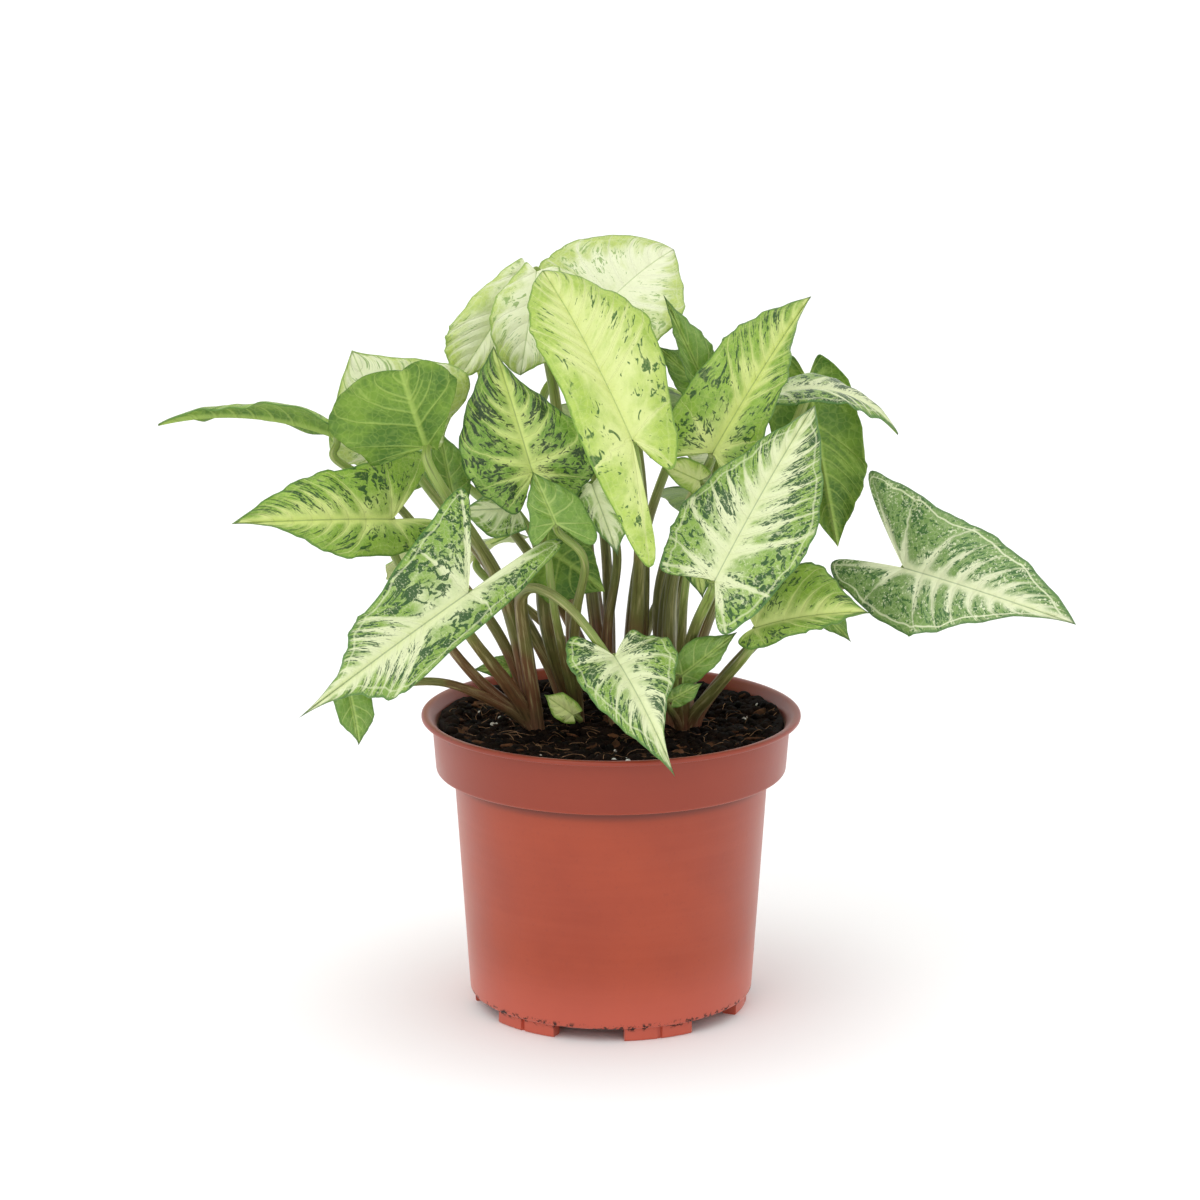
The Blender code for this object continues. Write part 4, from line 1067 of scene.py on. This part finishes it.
# %% What both faces of a blade need
class VeinedFinish(Finish):
    """A finish that reads the facts kept on a blade: its veins, its midrib and its edge."""

    def __init__(self, name, line_width):
        super().__init__(name)
        self.flat = self.attribute("leaf_flat")
        number, self.outward, spacing = self.parts(self.attribute("leaf_vein"))
        self.from_edge, run, seed = self.parts(self.attribute("leaf_edge"))
        self.fibre = self.node("ShaderNodeCombineXYZ", (self.times(number, 6.5), self.times(run, 0.36), seed))
        wobbly = self.plus(number, self.swing(self.grain(self.flat, 0.3), 0.12))
        self.to_vein = self.times(self.math("PINGPONG", wobbly, 0.5), spacing)
        self.taper = self.step(self.outward, 0.0, 1.0, 1.0, 0.25)
        self.line = self.fade(self.to_vein, self.times(self.taper, 0.1), self.times(self.taper, line_width))
        self.from_rib = self.math("ABSOLUTE", self.parts(self.flat)[0])

    def net(self, scale, full, none):
        """Returns the fine net of the smallest veins."""
        return self.fade(self.cells(self.flat, scale), full, none)


print("words that leaf finishes add:", ", ".join(word for word in vars(VeinedFinish) if not word.startswith("_")))


# %% [markdown]
# The upper face is painted in layers, and its green rim comes last. Each kind of leaf uses the same rule with its
# own colours and amounts.

# %% Finish of the upper face
LEAF_ROUGHNESS = 0.42


@dataclass
class Variegation:
    """Colours are screen colours. pale_reach is how far the pale area spreads from the midrib, feather how far it
    runs along side veins, dark_share how much is dark and dark_depth how strongly, ragged how broken the borders
    are, and fleck how many pale flecks the green holds. rib_mm and rim_mm are the widths of midrib and green rim."""

    ground: tuple
    dark: tuple
    pale: tuple
    rim: tuple
    pale_reach: float
    feather: float
    dark_share: float
    ragged: float
    rib_mm: float = 1.6
    rim_mm: float = 0.5
    dark_depth: float = 0.94
    fleck: float = 0.15


def upper_finish(name, look):
    g = VeinedFinish(name, 0.5)
    cloud = g.grain(g.flat, 0.08)
    patch = g.grain(g.flat, 0.4, 4.0, 0.62)
    streak = g.grain(g.fibre, 0.5, 4.0, 0.6, 0.4)
    grit = g.grain(g.fibre, 1.25, 2.0, 0.6, 0.8)
    net = g.net(0.5, 0.015, 0.1)
    halo = g.fade(g.to_vein, 0.1, g.times(g.taper, 2.4))

    spread = g.plus(g.math("SUBTRACT", look.pale_reach, g.times(g.outward, 1.25)), g.times(halo, look.feather),
                    g.swing(streak, 1.7 * look.ragged), g.swing(cloud, 2.2 * look.ragged))
    off_middle = g.math("ABSOLUTE", g.math("SUBTRACT", g.outward, 0.62))
    cluster = g.plus(g.swing(cloud, 3.4), g.swing(streak, 3.0), g.swing(grit, 8.5), g.times(halo, -1.0),
                     g.times(off_middle, -1.1), look.dark_share)
    dark = g.times(g.rise(cluster, 0.1, 0.8), g.rise(g.from_rib, look.rib_mm * 0.5, look.rib_mm * 1.4))
    flecks = g.plus(g.grain(g.flat, 1.5, 2.0, 0.6), g.swing(streak, 0.5))
    off_margin_vein = g.math("ABSOLUTE", g.math("SUBTRACT", g.plus(g.from_edge, g.swing(cloud, 4.0)), 2.2))
    rib = g.fade(g.from_rib, 0.3, g.times(g.step(g.outward, 0.0, 0.5, 1.0, 0.8), look.rib_mm))
    rim = g.fade(g.plus(g.from_edge, g.swing(patch, 1.6)), look.rim_mm * 0.4, look.rim_mm * 1.6, 0.85)
    base = g.coats(
        look.ground,
        (g.over(patch, 0.0, 0.4), look.rim),
        (g.times(g.rise(spread, -0.25, 0.85), 0.92), look.pale),
        (g.times(net, 0.14), look.pale),
        (g.times(g.line, 0.55), look.pale),
        (g.times(dark, look.dark_depth), look.dark),
        (g.rise(flecks, 0.56, 0.68, look.fleck), look.pale),
        (g.fade(off_margin_vein, 0.1, 0.45, look.fleck), look.pale),
        (g.times(rib, 0.9), look.pale),
        (g.times(g.fade(g.from_rib, 0.05, 0.32), 0.45), look.rim),
        (rim, look.rim),
    )
    height = g.plus(g.rise(g.to_vein, 0.0, 2.6), g.times(patch, 0.4), g.times(g.line, -0.4), g.times(net, -0.12))
    return g.close(base, g.over(grit, LEAF_ROUGHNESS - 0.06, LEAF_ROUGHNESS + 0.08), height, 0.55, 0.7)


print("amounts that make a kind of leaf:", ", ".join(Variegation.__dataclass_fields__))


# %% [markdown]
# The lower face is plain soft green with raised, paler veins and no gloss. The seven kinds of leaf come last.

# %% Finish of the lower face, and the kinds of leaf
def lower_finish(name, body, vein, deep):
    g = VeinedFinish(name, 0.7)
    grit = g.grain(g.flat, 1.4, 3.0, 0.6)
    net = g.net(0.45, 0.02, 0.14)
    streak = g.grain(g.fibre, 0.35, 4.0, 0.6, 0.5)
    base = g.coats(
        body,
        (g.rise(g.grain(g.flat, 0.07, 4.0, 0.6), 0.36, 0.64), deep),
        (g.rise(streak, 0.5, 0.68, 0.6), deep),
        (g.fade(streak, 0.3, 0.46, 0.5), vein),
        (g.times(net, 0.18), vein),
        (g.times(g.line, 0.5), vein),
        (g.times(g.fade(g.from_rib, 0.4, 1.3), 0.7), vein),
    )
    height = g.plus(g.times(g.line, 0.8), g.times(net, 0.3), g.times(grit, 0.3))
    return g.close(base, g.over(grit, 0.52, 0.66), height, 0.4, 0.6)


LOOKS = {
    "cream": Variegation((192, 210, 112), (118, 158, 60), (240, 245, 208), (136, 170, 74), 1.05, 0.35, -0.35, 0.9,
                         dark_depth=0.75),
    "lime": Variegation((176, 202, 86), (48, 96, 22), (220, 231, 152), (112, 154, 48), 0.95, 0.35, -0.42, 0.8, 2.0),
    "speckled": Variegation((144, 180, 62), (26, 72, 16), (216, 229, 140), (80, 126, 38), 0.52, 0.45, 0.15, 0.8,
                            2.2),
    "mottled": Variegation((120, 160, 52), (12, 48, 10), (208, 224, 132), (54, 98, 26), 0.5, 0.5, 0.5, 0.9),
    "panelled": Variegation((142, 176, 72), (28, 76, 22), (230, 238, 190), (80, 126, 54), 0.72, 0.75, 0.42, 0.9,
                            2.4, 0.6, fleck=0.45),
    "veined": Variegation((132, 164, 90), (58, 104, 46), (236, 242, 202), (84, 126, 64), 0.34, 0.8, 0.25, 0.9,
                          2.4, 0.7, fleck=0.75),
    "green": Variegation((114, 152, 54), (60, 98, 32), (178, 202, 112), (88, 128, 48), 0.05, 0.25, -0.2, 0.6,
                         0.9, dark_depth=0.5),
}
uppers = {kind: upper_finish(kind + "_upper_face", look) for kind, look in LOOKS.items()}
green_under = lower_finish("green_lower_face", (116, 152, 44), (166, 193, 92), (68, 110, 24))
pale_under = lower_finish("pale_lower_face", (196, 212, 132), (222, 230, 168), (164, 190, 96))
print("leaf finishes:", len(uppers) + 2)


# %% [markdown]
# ## Growing all the blades
#
# Now each row of the leaf list becomes a mesh. A cream or lime leaf has a pale lower face and the others a green
# one. The rows called underside are leaves that show their green lower colour on the side seen.

# %% Make the blades
PALE_KINDS = ("cream", "lime")
for number, leaf in enumerate(LEAVES):
    blade = in_scene(f"leaf_{leaf.name}_blade", blade_mesh(leaf, number))
    turned_away = leaf.facing[1] > 0
    plain_leaf = leaf.finish == "underside"
    upper_kind = ("speckled" if turned_away else "green") if plain_leaf else leaf.finish
    blade.data.materials.append(uppers[upper_kind])
    blade.data.materials.append(pale_under if leaf.finish in PALE_KINDS else green_under)
    put_on(blade, "leaf_underside" if plain_leaf else leaf.finish + "_leaf", "leaf_" + leaf.name)
    if number % 10 == 0:
        print(blade.name, "triangles:", triangles(blade))


# %% [markdown]
# ## Leaf stalks
#
# Each leaf hangs on a long stalk from the crown of its cutting. A stalk follows a smooth route through a few places,
# is thicker in its sheath, and gets its skin from the same Geometry Nodes rule as the fibres.

# %% Routes of the stalks
CROWNS = {"left": (-22.0, 2.0), "mid_left": (-10.0, 15.0), "mid": (5.0, 6.0), "right": (22.0, 4.0),
          "back": (2.0, 32.0)}
STALK_STEPS = 9
ROOT_Z, COLLAR_Z = 78.0, 91.0
ROOT_OFFSET = 2.5
SPREAD, SPREAD_STEP, SPREAD_MOST = 3.0, 0.3, 4.5
NECK_LENGTH = 8.0
NECK_SET_BACK, NECK_SET_FORWARD, NECK_TIP_RISE = 3.0, -1.0, 0.2
END_RUN, BLADE_TO_STALK, STALK_END = 2.2, 1.5, 0.8
SHEATH_END, SHEATH_FADE, SHEATH_GAIN = 0.42, 0.12, 0.3
NECK_GAIN, NECK_SHARE = 0.25, 0.03
EASE_PASSES = 16


def smooth_route(points, steps):
    """Returns points on a smooth curve through the route's own points."""
    p = [np.array(q, float) for q in points]
    p = [2 * p[0] - p[1]] + p + [2 * p[-1] - p[-2]]
    out = []
    for a, b, c, d in zip(p, p[1:], p[2:], p[3:]):
        for t in np.linspace(0.0, 1.0, steps, endpoint=False):
            out.append(0.5 * (2 * b + (c - a) * t + (2 * a - 5 * b + 4 * c - d) * t**2
                              + (3 * b - a - 3 * c + d) * t**3))
    return np.array(out + [p[-2]])


def stalk_route(leaf, order):
    """Returns a stalk's route from its crown to the ridge under the blade's base."""
    base = np.array(leaf.base, float)
    _, ahead, upper = blade_axes(leaf)
    centre = np.array(CROWNS[leaf.crown])
    via = list(np.reshape(leaf.via, (-1, 3)))
    way = unit((via + [base])[0][:2] - centre)
    root = (*(centre + way * ROOT_OFFSET), ROOT_Z)
    collar = (*(centre + way * min(SPREAD_MOST, SPREAD + SPREAD_STEP * order)), COLLAR_Z)
    neck = base - upper * NECK_LENGTH - ahead * (NECK_SET_BACK if ahead[2] > NECK_TIP_RISE else NECK_SET_FORWARD)
    ending = [neck, base - upper * (BLADE_TO_STALK + END_RUN), base - upper * BLADE_TO_STALK]
    route = smooth_route([root, collar] + via + ending, STALK_STEPS)
    route = np.vstack([route, base - upper * STALK_END])
    for _ in range(EASE_PASSES):
        route[1:-1] = route[1:-1] / 2 + (route[:-2] + route[2:]) / 4
    return route


def stalk_radii(leaf, count):
    """Returns the radius along a stalk: the sheath is thicker, and so is the last bit under the blade."""
    share = np.linspace(0.0, 1.0, count)
    radius = leaf.stalk[0] + (leaf.stalk[1] - leaf.stalk[0]) * share
    sheath = np.clip((SHEATH_END - share) / SHEATH_FADE, 0.0, 1.0)
    neck = np.exp(-((1 - share) / NECK_SHARE) ** 2)
    return radius * (1 + SHEATH_GAIN * sheath * (1 - share) + NECK_GAIN * neck)


print("crowns of the cuttings:", ", ".join(CROWNS))


# %% [markdown]
# The colour of a stalk runs from reddish brown in the crown through olive to fresh green under the blade. Fine
# streaks run along it, because its fibres do.

# %% Stalk finish and skins
def stalk_finish():
    g = Finish("leaf_stalk")
    place = g.place()
    along = g.attribute("along", "Fac")
    angle = g.times(g.attribute("around", "Fac"), math.tau)
    ring = g.node("ShaderNodeCombineXYZ", (g.math("COSINE", angle), g.math("SINE", angle), g.times(along, 2.5)))
    shift = g.node("ShaderNodeVectorMath", (ring, g.stretch(place, (22.0, 22.0, 4.0))), operation="ADD")
    streak = g.grain(shift, 2.4, 4.0, 0.6)
    blotch = g.grain(place, 60.0, 3.0)
    shifted = g.plus(along, g.swing(blotch, 0.5))
    red = g.times(g.rise(g.grain(place, 30.0), 0.5, 0.62), g.fade(along, 0.35, 0.85, 0.7))
    base = g.coats(
        (132, 94, 70),
        (g.rise(shifted, 0.1, 0.4), (114, 116, 60)),
        (g.rise(shifted, 0.5, 0.95), (140, 164, 78)),
        (red, (122, 66, 50)),
        (g.rise(streak, 0.52, 0.68, 0.6), (196, 186, 134)),
        (g.fade(streak, 0.34, 0.46, 0.6), (66, 58, 30)),
    )
    return g.close(base, g.over(blotch, 0.36, 0.5), streak, 0.2, 0.5)


stalk_green = stalk_finish()
for crown in CROWNS:
    family = [leaf for leaf in LEAVES if leaf.crown == crown]
    routes = [stalk_route(leaf, order) for order, leaf in enumerate(family)]
    maker = line_object("stalk_maker_" + crown, routes, [stalk_radii(*both) for both in zip(family, map(len, routes))])
    stalks = carried_out(maker, "leaf_stalks_" + crown, skins, Sides=14, Finish=stalk_green)
    put_on(stalks, "leaf_stalk", "stalks_" + crown)
    print("stalks of the", crown, "cutting:", len(family), "triangles:", triangles(stalks))


# %% [markdown]
# ## Floor, light and camera
#
# The plant stands on a white floor in soft light from all round, with one large soft lamp above the viewer's left
# shoulder. The floor also glows a little. That glow is painted light, and it is weaker near the pot, which paints a
# soft shadow round it. Shadows almost vanish, so the leaf colours carry the picture. The camera has a long lens and
# looks down.

# %% Floor, light and camera
FLOOR_HALF = 9.0
PAPER = (0.96, 0.96, 0.96, 1.0)
PAPER_ROUGHNESS = 0.9
# Painted light: how strongly the floor glows, and from which to which distance from the pot it rises.
PAPER_GLOW = 0.15
GLOW_START, GLOW_END = 0.04, 0.125
SKY = (1.0, 1.0, 1.0, 1.0)
KEY_PLACE = (-0.9, -1.3, 1.7)
KEY_AIM = (0.0, 0.0, 0.12)
KEY_SIZE = 1.4
KEY_WATTS = 9.0
CAMERA_PLACE = (-0.0035, -1.2841, 0.4375)
CAMERA_TILT_DEG = 76.58
LENS_MM, SENSOR_MM = 126.0, 36.0
FAR_CLIP = 100.0

paper = Finish("white_paper")
distance = paper.node("ShaderNodeVectorMath", (paper.place(),), operation="LENGTH").outputs["Value"]
# Painted light and shadow: the floor glows, and less so near the pot, which paints a soft shadow round it.
glow = paper.rise(distance, GLOW_START, GLOW_END, PAPER_GLOW)
for key, value in (("Base Color", PAPER), ("Roughness", PAPER_ROUGHNESS), ("Emission Color", PAPER),
                   ("Emission Strength", glow)):
    paper.feed(paper.shader[key], value)
floor_mesh = bpy.data.meshes.new("floor")
corners = [(x * FLOOR_HALF, y * FLOOR_HALF, 0.0) for x, y in ((-1, -1), (1, -1), (1, 1), (-1, 1))]
floor_mesh.from_pydata(corners, [], [(0, 1, 2, 3)])
floor_mesh.materials.append(paper.material)
floor = in_scene("floor", floor_mesh)
floor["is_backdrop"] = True

world = bpy.data.worlds.new("soft_room")
world.use_nodes = True
world.node_tree.nodes["Background"].inputs["Color"].default_value = SKY
bpy.context.scene.world = world

lamp = in_scene("key_lamp", bpy.data.lights.new("key_lamp", "AREA"))
lamp.data.size = KEY_SIZE
lamp.data.energy = KEY_WATTS
lamp.location = KEY_PLACE
lamp.rotation_euler = (Vector(KEY_AIM) - Vector(KEY_PLACE)).to_track_quat("-Z", "Y").to_euler()

camera = in_scene("camera", bpy.data.cameras.new("camera"))
camera.data.lens = LENS_MM
camera.data.sensor_width = SENSOR_MM
camera.data.clip_end = FAR_CLIP
camera.location = CAMERA_PLACE
camera.rotation_euler = (math.radians(CAMERA_TILT_DEG), 0.0, 0.0)
bpy.context.scene.camera = camera
bpy.context.scene.view_settings.view_transform = "Standard"
print("camera distance from the pot's axis:", round(abs(CAMERA_PLACE[1]), 3), "m")


# %% [markdown]
# ## The last measure
#
# The dressed plant must still be the size of the solid model. Both boxes are written down to compare them.

# %% Compare sizes and finish
look_low, look_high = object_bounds()
for axis, a, b, c, d in zip("XYZ", SOLID_LOW, look_low, SOLID_HIGH, look_high):
    print(axis, "low", round((b - a) / MM, 2), "mm, high", round((d - c) / MM, 2), "mm from the solid box")
